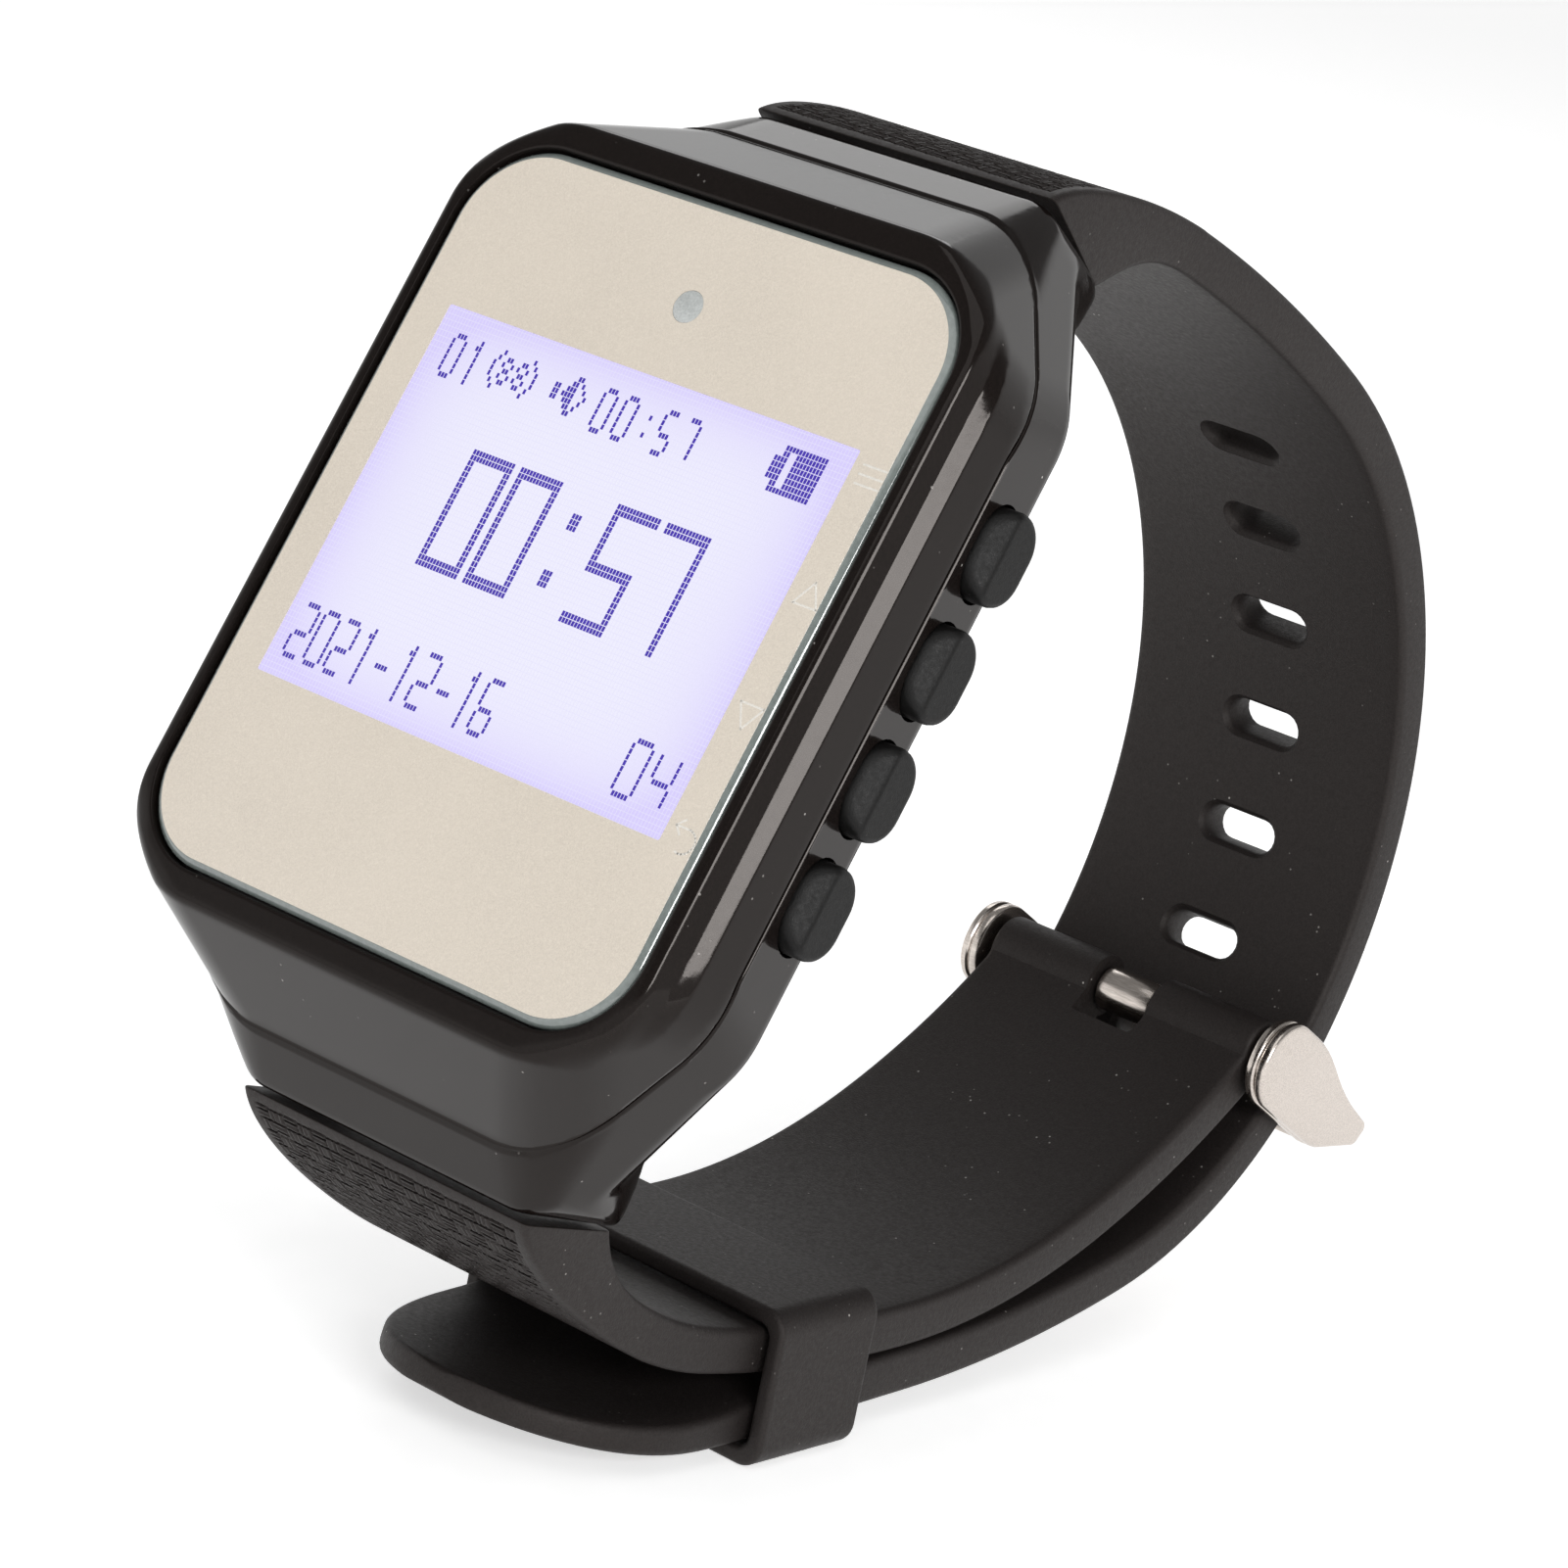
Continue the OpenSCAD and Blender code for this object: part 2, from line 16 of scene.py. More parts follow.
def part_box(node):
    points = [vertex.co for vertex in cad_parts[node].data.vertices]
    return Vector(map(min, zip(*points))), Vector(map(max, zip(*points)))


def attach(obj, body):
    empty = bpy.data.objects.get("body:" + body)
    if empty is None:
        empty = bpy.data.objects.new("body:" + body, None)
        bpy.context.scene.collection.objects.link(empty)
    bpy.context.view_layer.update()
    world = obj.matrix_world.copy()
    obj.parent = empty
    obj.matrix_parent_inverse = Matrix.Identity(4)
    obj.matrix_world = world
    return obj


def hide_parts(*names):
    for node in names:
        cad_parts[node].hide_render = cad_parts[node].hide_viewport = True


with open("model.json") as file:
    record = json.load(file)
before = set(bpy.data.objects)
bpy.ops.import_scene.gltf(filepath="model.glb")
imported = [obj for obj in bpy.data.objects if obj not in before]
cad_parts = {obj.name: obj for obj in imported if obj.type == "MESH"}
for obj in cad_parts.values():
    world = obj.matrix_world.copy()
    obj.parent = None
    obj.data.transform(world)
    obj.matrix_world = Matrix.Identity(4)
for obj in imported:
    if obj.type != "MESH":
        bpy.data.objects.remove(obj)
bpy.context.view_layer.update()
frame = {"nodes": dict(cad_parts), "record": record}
scene = bpy.context.scene
scene.view_settings.view_transform = "Standard"

# ---------------------------------------------------------------- placement

back_axis = next(m for m in frame["record"]["mounts"] if m["name"] == "case_back")["axis"]
LEAN = math.atan2(back_axis[1], -back_axis[2])
TURN = np.array(Matrix.Rotation(LEAN, 3, "X"))
GLASS_T = 1.0
glass_low, glass_high = (np.array(v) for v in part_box("cover_glass"))
ORIGIN = (glass_low + glass_high) / 2 + TURN @ np.array([0, 0, GLASS_T / 2]) * 1e-3


def to_row(points):
    return np.asarray(points, float) @ TURN.T * 1e-3 + ORIGIN


# ---------------------------------------------------------------- camera

CAMERA_AT = (160.1, -33.3, 193.3)
CAMERA_AXES = np.array([(0.749, 0.4551, -0.4816), (-0.3087, 0.8828, 0.3542), (0.5863, -0.1167, 0.8016)]).T
camera_data = bpy.data.cameras.new("camera")
camera_data.lens = 119.3
camera_data.sensor_width = 36
camera_data.clip_start, camera_data.clip_end = 0.01, 50
camera = bpy.data.objects.new("camera", camera_data)
scene.collection.objects.link(camera)
axes = TURN @ CAMERA_AXES
camera.matrix_world = Matrix.Translation(to_row(CAMERA_AT)) @ Matrix(axes.tolist()).to_4x4()
scene.camera = camera

# ---------------------------------------------------------------- materials


MM_PER_M = 1000


class Nodes:
    """A small builder for one material's node tree."""

    def __init__(self, name):
        self.material = bpy.data.materials.new(name)
        self.material.use_nodes = True
        self.tree = self.material.node_tree
        self.shader = self.tree.nodes["Principled BSDF"]
        where = self.node("ShaderNodeTexCoord")
        scale = self.node("ShaderNodeMapping")
        scale.inputs["Scale"].default_value = (MM_PER_M,) * 3
        self.link(where.outputs["Object"], scale.inputs["Vector"])
        self.mm = scale.outputs["Vector"]

    def node(self, kind, **values):
        node = self.tree.nodes.new(kind)
        for key, value in values.items():
            setattr(node, key, value)
        return node

    def link(self, a, b):
        self.tree.links.new(a, b)

    def set(self, **values):
        for key, value in values.items():
            self.shader.inputs[key.replace("_", " ")].default_value = value

    def noise(self, scale, detail=2.0, stretch=None):
        node = self.node("ShaderNodeTexNoise")
        node.inputs["Scale"].default_value = scale
        node.inputs["Detail"].default_value = detail
        vector = self.mm
        if stretch:
            mapping = self.node("ShaderNodeMapping")
            mapping.inputs["Scale"].default_value = stretch
            self.link(self.mm, mapping.inputs["Vector"])
            vector = mapping.outputs["Vector"]
        self.link(vector, node.inputs["Vector"])
        return node.outputs["Fac"]

    def ramp(self, value, low, high, at=(0.35, 0.65)):
        node = self.node("ShaderNodeValToRGB")
        for element, place, colour in zip(node.color_ramp.elements, at, (low, high)):
            element.position = place
            element.color = (*colour, 1) if isinstance(colour, tuple) else (colour,) * 3 + (1,)
        self.link(value, node.inputs["Fac"])
        return node.outputs["Color"]

    def mix(self, factor, a, b):
        node = self.node("ShaderNodeMix", data_type="RGBA")
        self.link(factor, node.inputs["Factor"])
        for socket, value in ((node.inputs[6], a), (node.inputs[7], b)):
            if isinstance(value, tuple):
                socket.default_value = (*value, 1)
            else:
                self.link(value, socket)
        return node.outputs[2]

    def bump(self, height, strength, distance):
        node = self.node("ShaderNodeBump")
        node.inputs["Strength"].default_value = strength
        node.inputs["Distance"].default_value = distance
        self.link(height, node.inputs["Height"])
        self.link(node.outputs["Normal"], self.shader.inputs["Normal"])


DUST_COLOUR = (0.4, 0.38, 0.36)


def finish(name, low, high, rough, grain, bump=0.0, dust=0.0, stretch=None, dust_scale=3.2, **settings):
    """Colour and roughness that vary with a fine grain, and a few pale dust specks."""
    n = Nodes(name)
    fine = n.noise(grain, 3, stretch)
    broad = n.noise(0.12, 2)
    colour = n.mix(broad, n.ramp(fine, low, high), n.ramp(fine, tuple(0.8 * c for c in low), high))
    if dust:
        specks = n.node("ShaderNodeTexVoronoi", feature="F1")
        specks.inputs["Scale"].default_value = dust_scale
        n.link(n.mm, specks.inputs["Vector"])
        patches = n.ramp(n.noise(0.35, 2), 0.0, 1.0, (0.56, 0.74))
        spot = n.ramp(specks.outputs["Distance"], 1.0, 0.0, (dust * 0.6, dust))
        some = n.node("ShaderNodeMath", operation="MULTIPLY")
        n.link(patches, some.inputs[0])
        n.link(spot, some.inputs[1])
        colour = n.mix(some.outputs[0], colour, DUST_COLOUR)
    n.link(colour, n.shader.inputs["Base Color"])
    uneven = n.ramp(n.noise(grain * 0.4, 3, stretch), rough[0], rough[1], (0.3, 0.7))
    n.link(uneven, n.shader.inputs["Roughness"])
    if bump:
        n.bump(fine, 1.0, bump * 1e-3)
    n.set(**settings)
    return n.material


GLOSS = finish("gloss_black", (0.0062, 0.0044, 0.0038), (0.0078, 0.0056, 0.005), (0.07, 0.12), 6, 0.0012,
               dust=0.1, dust_scale=1.3, IOR=1.31, Specular_Tint=(1, 0.93, 0.89, 1))
SILICONE = finish("strap_silicone", (0.0115, 0.009, 0.0085), (0.0172, 0.014, 0.0132), (0.5, 0.62), 9, 0.02,
                  dust=0.11, dust_scale=1.5, IOR=1.38, Specular_Tint=(1, 0.94, 0.91, 1))
BUTTON = finish("button_silicone", (0.0032, 0.003, 0.0029), (0.006, 0.0057, 0.0055), (0.4, 0.52), 11, 0.014,
                dust=0.06, dust_scale=3.0, IOR=1.3)
NICKEL = finish("nickel", (0.60, 0.54, 0.49), (0.68, 0.62, 0.57), (0.16, 0.26), 5, 0.003,
                stretch=(0.3, 3, 3), Metallic=1.0)
STEEL = finish("steel", (0.42, 0.41, 0.40), (0.56, 0.55, 0.53), (0.22, 0.36), 7, 0.003,
               stretch=(0.3, 3, 3), Metallic=1.0)
GOLD = finish("gold_plate", (0.66, 0.44, 0.16), (0.78, 0.55, 0.23), (0.16, 0.3), 6, 0.002, Metallic=1.0)
PRINT = finish("mirror_print", (0.69, 0.622, 0.53), (0.704, 0.635, 0.542), (0.24, 0.3), 14, 0.0,
               Coat_Weight=1.0, Coat_Roughness=0.02, Metallic=0.0)
GLASS_EDGE = finish("glass_edge", (0.17, 0.195, 0.185), (0.185, 0.21, 0.2), (0.05, 0.09), 4, 0.0,
                    Coat_Weight=1.0, Coat_Roughness=0.02)
ICON = finish("icon_print", (0.74, 0.71, 0.65), (0.8, 0.77, 0.71), (0.2, 0.26), 14, 0.0,
              Coat_Weight=1.0, Coat_Roughness=0.02)
LAMP = finish("lamp_lens", (0.43, 0.45, 0.44), (0.5, 0.52, 0.51), (0.22, 0.3), 9, 0.0,
              Coat_Weight=1.0, Coat_Roughness=0.03)
INK = finish("lcd_ink", (0.02, 0.006, 0.26), (0.03, 0.011, 0.31), (0.3, 0.4), 10, 0.0,
             Coat_Weight=1.0, Coat_Roughness=0.02, Emission_Color=(0.06, 0.02, 0.42, 1),
             Emission_Strength=0.3)
BOARD = finish("solder_mask", (0.006, 0.06, 0.02), (0.012, 0.10, 0.035), (0.3, 0.45), 3, 0.004)
CHIP = finish("chip_epoxy", (0.010, 0.010, 0.012), (0.018, 0.018, 0.02), (0.5, 0.65), 12, 0.006)
CELL = finish("battery_foil", (0.42, 0.43, 0.45), (0.56, 0.57, 0.6), (0.25, 0.4), 1.6, 0.02, Metallic=0.9)
TAPE = finish("adhesive_tape", (0.62, 0.58, 0.44), (0.72, 0.68, 0.54), (0.5, 0.7), 5, 0.01)
WHITE = finish("white_plastic", (0.72, 0.71, 0.68), (0.8, 0.79, 0.76), (0.35, 0.45), 8, 0.004)
FLEX = finish("polyimide", (0.35, 0.14, 0.02), (0.46, 0.2, 0.035), (0.25, 0.4), 2.5, 0.004)
GASKET = finish("gasket_foam", (0.012, 0.012, 0.012), (0.024, 0.024, 0.024), (0.75, 0.9), 9, 0.03)
CLEAR = finish("clear_lens", (0.55, 0.58, 0.6), (0.64, 0.67, 0.69), (0.08, 0.14), 5, 0.0, Coat_Weight=1.0)

WINDOW_X, WINDOW_Y = 0.1, 0.54
WINDOW_W, WINDOW_H = 27.3, 20.9
DOT_W, DOT_H = 0.2039, 0.3096


def lcd_material():
    """Backlit panel: near white in the middle, violet towards its edges, with a fine dot grid."""
    n = Nodes("lcd_backlit")
    grid = n.node("ShaderNodeTexBrick", offset=0.0, squash=1.0)
    grid.inputs["Scale"].default_value = 1.0
    grid.inputs["Brick Width"].default_value = DOT_W
    grid.inputs["Row Height"].default_value = DOT_H
    grid.inputs["Mortar Size"].default_value = 0.016
    uv = n.node("ShaderNodeUVMap", uv_map="panel")
    n.link(uv.outputs["UV"], grid.inputs["Vector"])
    split = n.node("ShaderNodeSeparateXYZ")
    n.link(uv.outputs["UV"], split.inputs["Vector"])
    edges = []
    for axis, size in (("X", WINDOW_W), ("Y", WINDOW_H)):
        ratio = n.node("ShaderNodeMath", operation="MULTIPLY_ADD")
        ratio.inputs[1].default_value, ratio.inputs[2].default_value = 2 / size, -1
        n.link(split.outputs[axis], ratio.inputs[0])
        power = n.node("ShaderNodeMath", operation="POWER")
        power.inputs[1].default_value = 6
        n.link(ratio.outputs[0], power.inputs[0])
        edges.append(power.outputs[0])
    edge = n.node("ShaderNodeMath", operation="ADD", use_clamp=True)
    for i in (0, 1):
        n.link(edges[i], edge.inputs[i])
    glow = n.mix(edge.outputs[0], (0.87, 0.86, 1.0), (0.68, 0.62, 0.99))
    lines = n.mix(grid.outputs["Fac"], glow, (0.8, 0.78, 0.99))
    dim = n.mix(edge.outputs[0], (0.1, 0.1, 0.12), (0.09, 0.08, 0.12))
    n.link(dim, n.shader.inputs["Base Color"])
    n.link(lines, n.shader.inputs["Emission Color"])
    n.link(n.ramp(n.noise(5, 2), 0.25, 0.3), n.shader.inputs["Roughness"])
    n.set(Emission_Strength=0.88, Coat_Weight=1.0, Coat_Roughness=0.02)
    return n.material


# ---------------------------------------------------------------- mesh helpers

MERGE_M = 2e-7


def ring_faces(rings, points, closed=True, loop=False):
    """Quads between neighbouring rings, numbered ring by ring; loop joins the last ring to the first."""
    faces = []
    for i in range(rings if loop else rings - 1):
        for j in range(points if closed else points - 1):
            k, m = (i + 1) % rings, (j + 1) % points
            faces.append((i * points + j, i * points + m, k * points + m, k * points + j))
    return faces


def loft(rings, loop=False):
    """Vertices and faces of a tube through equal rings, capped at its ends unless it is a loop."""
    rings = np.asarray(rings, float)
    count, points = rings.shape[:2]
    faces = ring_faces(count, points, loop=loop)
    if not loop:
        faces += [tuple(range(points))[::-1], tuple(range((count - 1) * points, count * points))]
    return rings.reshape(-1, 3), faces


def merged(parts):
    """Several (vertices, faces) as one."""
    verts, faces, start = [], [], 0
    for v, f in parts:
        verts.append(np.asarray(v, float))
        faces += [tuple(i + start for i in face) for face in f]
        start += len(v)
    return np.vstack(verts), faces


def new_mesh(name, verts, faces):
    """An object in the row frame from vertices in the watch's own frame."""
    mesh = bpy.data.meshes.new(name)
    mesh.from_pydata(to_row(verts).tolist(), [], faces)
    bm = bmesh.new()
    bm.from_mesh(mesh)
    bmesh.ops.remove_doubles(bm, verts=bm.verts, dist=MERGE_M)
    bmesh.ops.recalc_face_normals(bm, faces=bm.faces)
    bm.to_mesh(mesh)
    bm.free()
    obj = bpy.data.objects.new(name, mesh)
    scene.collection.objects.link(obj)
    return obj


def cut(obj, cutters, operation="DIFFERENCE"):
    """Applies the cutters, as (vertices, faces), to obj, and drops faces that lie back to back."""
    for i, shape in enumerate(cutters):
        tool = new_mesh(f"{obj.name}_cutter_{i}", *shape)
        modifier = obj.modifiers.new("cut", "BOOLEAN")
        modifier.operation, modifier.solver, modifier.object = operation, "EXACT", tool
        with bpy.context.temp_override(object=obj, active_object=obj):
            bpy.ops.object.modifier_apply(modifier=modifier.name)
        bpy.data.objects.remove(tool)
    bm = bmesh.new()
    bm.from_mesh(obj.data)
    bmesh.ops.remove_doubles(bm, verts=bm.verts, dist=MERGE_M)
    bmesh.ops.triangulate(bm, faces=bm.faces)
    twins = {}
    for face in bm.faces:
        twins.setdefault(frozenset(v.index for v in face.verts), []).append(face)
    back_to_back = [face for group in twins.values() if len(group) == 2 for face in group]
    bmesh.ops.delete(bm, geom=back_to_back, context="FACES")
    bm.to_mesh(obj.data)
    bm.free()


def done(obj, material, body, stands_for=(), sharp=32):
    """Gives a finished mesh its material, smooth shading and body, and hides the CAD nodes it replaces."""
    obj.data.materials.clear()
    obj.data.materials.append(material)
    obj.data.polygons.foreach_set("use_smooth", [True] * len(obj.data.polygons))
    obj.data.set_sharp_from_angle(angle=math.radians(sharp))
    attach(obj, body)
    if stands_for:
        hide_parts(*stands_for)
    return obj


def piece(name, shape, material, body, stands_for=(), cutters=(), sharp=32):
    """A visible piece from (vertices, faces), with its cutters taken away."""
    obj = new_mesh(name, *shape)
    cut(obj, cutters)
    return done(obj, material, body, stands_for, sharp)


def rounded(corners, step=9):
    """Closed outline through corners (x, y, fillet radius)."""
    out = []
    n = len(corners)
    for i, (x, y, r) in enumerate(corners):
        b = np.array([x, y])
        a, c = (np.array(corners[(i + k) % n][:2]) for k in (-1, 1))
        if r <= 0:
            out.append(b)
            continue
        u, v = (a - b) / np.linalg.norm(a - b), (c - b) / np.linalg.norm(c - b)
        half = math.acos(np.clip(u @ v, -1, 1)) / 2
        m = (u + v) / np.linalg.norm(u + v)
        q, t = b + m * r / math.sin(half), r / math.tan(half)
        p0, p1 = b + u * t - q, b + v * t - q
        a0 = math.atan2(p0[1], p0[0])
        sweep = (math.atan2(p1[1], p1[0]) - a0 + math.pi) % (2 * math.pi) - math.pi
        k = max(2, math.ceil(abs(math.degrees(sweep)) / step - 1e-6))
        turns = [a0 + sweep * j / k for j in range(k + 1)]
        out += [q + r * np.array([math.cos(turn), math.sin(turn)]) for turn in turns]
    return np.array(out)


def two_ways(corners):
    """The corners, and their mirror images in X in reverse order."""
    return list(corners) + [(-x, y, r) for x, y, r in reversed(corners)]


def four_ways(corners):
    """The corners mirrored in X and in Y, in order round the middle."""
    below = [(-x, -y, r) for x, y, r in corners] + [(x, -y, r) for x, y, r in reversed(corners)]
    return two_ways(corners) + below


def rect(w, h, r):
    return [(w / 2, h / 2, r), (-w / 2, h / 2, r), (-w / 2, -h / 2, r), (w / 2, -h / 2, r)]


def outline_inset(points, d):
    """A closed outline moved inwards by d along its corner normals."""
    ahead, behind = np.roll(points, -1, 0) - points, points - np.roll(points, 1, 0)
    normals = []
    for e in (ahead, behind):
        e = e / np.maximum(np.linalg.norm(e, axis=1, keepdims=True), 1e-9)
        normals.append(np.stack([-e[:, 1], e[:, 0]], 1))
    area = np.sum(points[:, 0] * np.roll(points[:, 1], -1) - np.roll(points[:, 0], -1) * points[:, 1])
    total = normals[0] + normals[1]
    scale = np.maximum(np.sum(total * total, 1, keepdims=True) / 2, 0.5)
    return points + total / scale * d * (1 if area > 0 else -1)


def slab(outline, x0, x1, r=0.2, axis="x", steps=4):
    """An outline extruded from x0 to x1 along an axis, with edges rounded to r."""
    levels = [(x0 + r - r * math.sin(a), r - r * math.cos(a)) for a in np.linspace(math.pi / 2, 0, steps + 1)]
    levels += [(x0 + x1 - x, d) for x, d in reversed(levels)]
    rings = []
    for x, d in levels:
        p = outline_inset(outline, d)
        x = np.full(len(p), x)
        rings.append(np.stack({"x": [x, p[:, 0], p[:, 1]], "y": [p[:, 0], x, p[:, 1]],
                               "z": [p[:, 0], p[:, 1], x]}[axis], 1))
    return loft(rings)


# ---------------------------------------------------------------- strap curves

# A start is (y, z, heading in degrees). An arc is (radius, turn in degrees), or (0, length) if straight.
LONG_START = (28, -10.6, -58.5)
LONG_ARCS = [(29.6, -23.8), (105, -11.1), (31.1, -44), (29, -45.6), (23.3, -46), (85.3, -12.9), (0, 13.8),
             (48, -16.6)]
SHORT_START = (-27, -11.6, -119)
SHORT_ARCS = [(28.8, 15.3), (21.8, 29.7), (82.4, 11.6), (42.1, 22.7), (54, 15)]
BAR_Y, BAR_Z = 0.65, -66.4


def arc_length(arc):
    return arc[1] if arc[0] == 0 else arc[0] * math.radians(abs(arc[1]))


def along(start, arcs, d):
    """(y, z, heading in radians) at distance d along a chain of tangent arcs."""
    y, z, h = start[0], start[1], math.radians(start[2])
    for i, arc in enumerate(arcs):
        length = arc_length(arc)
        part = min(d, length) if i < len(arcs) - 1 else d
        if arc[0] == 0:
            y, z = y + part * math.cos(h), z + part * math.sin(h)
        else:
            k = math.copysign(arc[0], arc[1])
            h2 = h + part / k
            y, z, h = y + k * (math.sin(h2) - math.sin(h)), z - k * (math.cos(h2) - math.cos(h)), h2
        d -= part
        if d <= 0:
            break
    return y, z, h


def side(state, d):
    """The point at distance d to the left of a place on a chain of arcs."""
    y, z, h = state
    return np.array([y - d * math.sin(h), z + d * math.cos(h)])


LONG_L = sum(arc_length(a) for a in LONG_ARCS)
SHORT_L = sum(arc_length(a) for a in SHORT_ARCS)
BAND_HALF, ROOT_HALF, BAND_T = 9.55, 10.0, 2.6
ROOT_END, ROOT_PULL = 14.0, 4.5
THIN_FROM, THIN_BY = LONG_L - 27, 1.15
WEAVE_CELL, WEAVE_RIDGES, WEAVE_DEPTH = 1.04, 3, 0.26
WEAVE_FROM, WEAVE_TO, WEAVE_MARGIN = 0.75, 13.6, 0.35
ACROSS, UNDER = 190, 24


def bezier(p0, p1, p2, p3, t):
    """Point at t on a cubic curve."""
    p0, p1, p2, p3 = (np.asarray(p, float) for p in (p0, p1, p2, p3))
    return (1 - t) ** 3 * p0 + 3 * (1 - t) ** 2 * t * p1 + 3 * (1 - t) * t * t * p2 + t ** 3 * p3


def weave(x, s):
    """Height of the basket weave pressed into the strap's outer face, 0 to 1."""
    cx, cs = np.floor(x / WEAVE_CELL), np.floor(s / WEAVE_CELL)
    along_x = (cx + cs) % 2 < 1
    f = np.where(along_x, s / WEAVE_CELL - cs, x / WEAVE_CELL - cx)
    g = np.where(along_x, x / WEAVE_CELL - cx, s / WEAVE_CELL - cs)
    ridge = np.abs(np.sin(math.pi * WEAVE_RIDGES * f)) ** 0.5
    ends = np.clip(np.minimum(g, 1 - g) / 0.12, 0, 1)
    return ridge * ends


def strap_ring(inner, outer, half, s=0.0, edge=0.45, woven=0.0):
    """Rounded rectangle between two points in Y and Z, 2 * half wide, with weave where woven is over 0."""
    inner, outer = np.asarray(inner), np.asarray(outer)
    thick = np.linalg.norm(outer - inner)
    up = (outer - inner) / thick
    edge = min(edge, half * 0.45, thick * 0.45)
    a = np.linspace(0, math.pi / 2, 5)[1:-1]
    top = np.linspace(-(half - edge), half - edge, ACROSS)
    rise = np.zeros(ACROSS)
    if woven > 0:
        inside = np.clip((half - edge - WEAVE_MARGIN - np.abs(top)) / 0.25, 0, 1)
        rise = WEAVE_DEPTH * woven * inside * (weave(top + 50 * WEAVE_CELL, s) - 1)
    low = np.linspace(half - edge, -(half - edge), UNDER)
    flat, wall = half - edge, thick - edge
    out, back = edge * np.sin(a), edge * np.cos(a)
    x = np.concatenate([top, flat + out, [half, half], flat + back, low, -flat - out, [-half, -half],
                        -flat - back])
    v = np.concatenate([thick + rise, wall + back, [wall, edge], edge - out, np.zeros(UNDER), edge - back,
                        [edge, wall], wall + out])
    p = inner[None, :] + v[:, None] * up[None, :]
    return np.stack([x, p[:, 0], p[:, 1]], 1)


def thinning(s):
    """How much of its thickness the long strap loses on its inner face towards the tip."""
    t = np.clip((s - THIN_FROM) / (LONG_L - THIN_FROM), 0, 1)
    return THIN_BY * t * t * (3 - 2 * t)


def strap_rings(start, arcs, out_sign, root, stop):
    """Rings of one strap half. root holds the outer and inner corners at the case and their directions."""
    (outer0, outer_dir), (inner0, inner_dir) = root
    joint = along(start, arcs, ROOT_END)
    heading = np.array([math.cos(joint[2]), math.sin(joint[2])])
    outer1, inner1 = side(joint, out_sign * BAND_T / 2), side(joint, -out_sign * BAND_T / 2)
    rings = []

    def edge_ring(s, t, drop):
        """A ring on the root wedge, drawn in by drop to round the end at the case."""
        o = bezier(outer0, np.array(outer0) + np.array(outer_dir), outer1 - heading * ROOT_PULL, outer1, t)
        i = bezier(inner0, np.array(inner0) + np.array(inner_dir), inner1 - heading * ROOT_PULL, inner1, t)
        u = (o - i) / np.linalg.norm(o - i)
        half = ROOT_HALF + (BAND_HALF - ROOT_HALF) * min(1, t * 1.1) ** 0.8
        fade = np.clip((s - WEAVE_FROM) / 0.3, 0, 1) * np.clip((WEAVE_TO - s) / 2.5, 0, 1)
        return strap_ring(i + u * drop, o - u * drop, half - drop, s, edge=0.4, woven=float(fade))

    for drop, t in ((0.14, 0.0), (0.05, 0.003), (0.01, 0.008)):
        rings.append(edge_ring(0, t, drop))
    for s in np.arange(0.3, ROOT_END, 0.1):
        rings.append(edge_ring(s, s / ROOT_END, 0))
    for s in np.linspace(ROOT_END, stop, int((stop - ROOT_END) / 0.9)):
        state = along(start, arcs, s)
        inner = thinning(s) - BAND_T / 2 if out_sign > 0 else BAND_T / 2
        rings.append(strap_ring(side(state, inner), side(state, out_sign * BAND_T / 2), BAND_HALF, s))
    return rings


def stadium(l, h, steps=10):
    """Outline of a slot l long and h wide."""
    r = h / 2
    a = np.linspace(-math.pi / 2, math.pi / 2, steps + 1)
    right = np.stack([l / 2 - r + r * np.cos(a), r * np.sin(a)], 1)
    return np.vstack([right, -right])


# ---------------------------------------------------------------- long strap

long_root = (((28.5, -9.68), (2.4, -2.05)), ((26.72, -16.3), (1.8, -1.95)))
TIP_L, TIP_SQUEEZE, SQUEEZE_TURN = 11.0, 0.4, 0.3
tip_from = LONG_L - TIP_L
rings = strap_rings(LONG_START, LONG_ARCS, 1, long_root, tip_from)
for a in np.radians(np.concatenate([np.linspace(6, 84, 22), [86.5, 88.5]])):
    s = tip_from + TIP_L * math.sin(a)
    state = along(LONG_START, LONG_ARCS, s)
    squeeze = TIP_SQUEEZE * (1 - min(1.0, (math.pi / 2 - a) / SQUEEZE_TURN)) ** 2
    rings.append(strap_ring(side(state, -BAND_T / 2 + thinning(s) + squeeze),
                            side(state, BAND_T / 2 - squeeze), BAND_HALF * math.cos(a)))
SLOT_FIRST, SLOT_PITCH, SLOTS = 40.4, 6.91, 10
SLOT_L, SLOT_W = 5, 2
SLOT_LEVELS = ((-2.2, 0.3), (-1.3, 0.3), (-1.1, 0.09), (-0.9, 0), (0.9, 0), (1.1, 0.09), (1.3, 0.3),
               (2.2, 0.3))
slot_cutters = []
for i in range(SLOTS):
    y, z, h = along(LONG_START, LONG_ARCS, SLOT_FIRST + i * SLOT_PITCH)
    levels = []
    for v, flare in SLOT_LEVELS:
        p = stadium(SLOT_L + 2 * flare, SLOT_W + 2 * flare)
        levels.append(np.stack([p[:, 0], y + p[:, 1] * math.cos(h) - v * math.sin(h),
                                z + p[:, 1] * math.sin(h) + v * math.cos(h)], 1))
    slot_cutters.append(loft(levels))
piece("strap_long_skin", loft(rings), SILICONE, "watch", ("strap_long",),
      [merged(slot_cutters)])

# ---------------------------------------------------------------- short strap

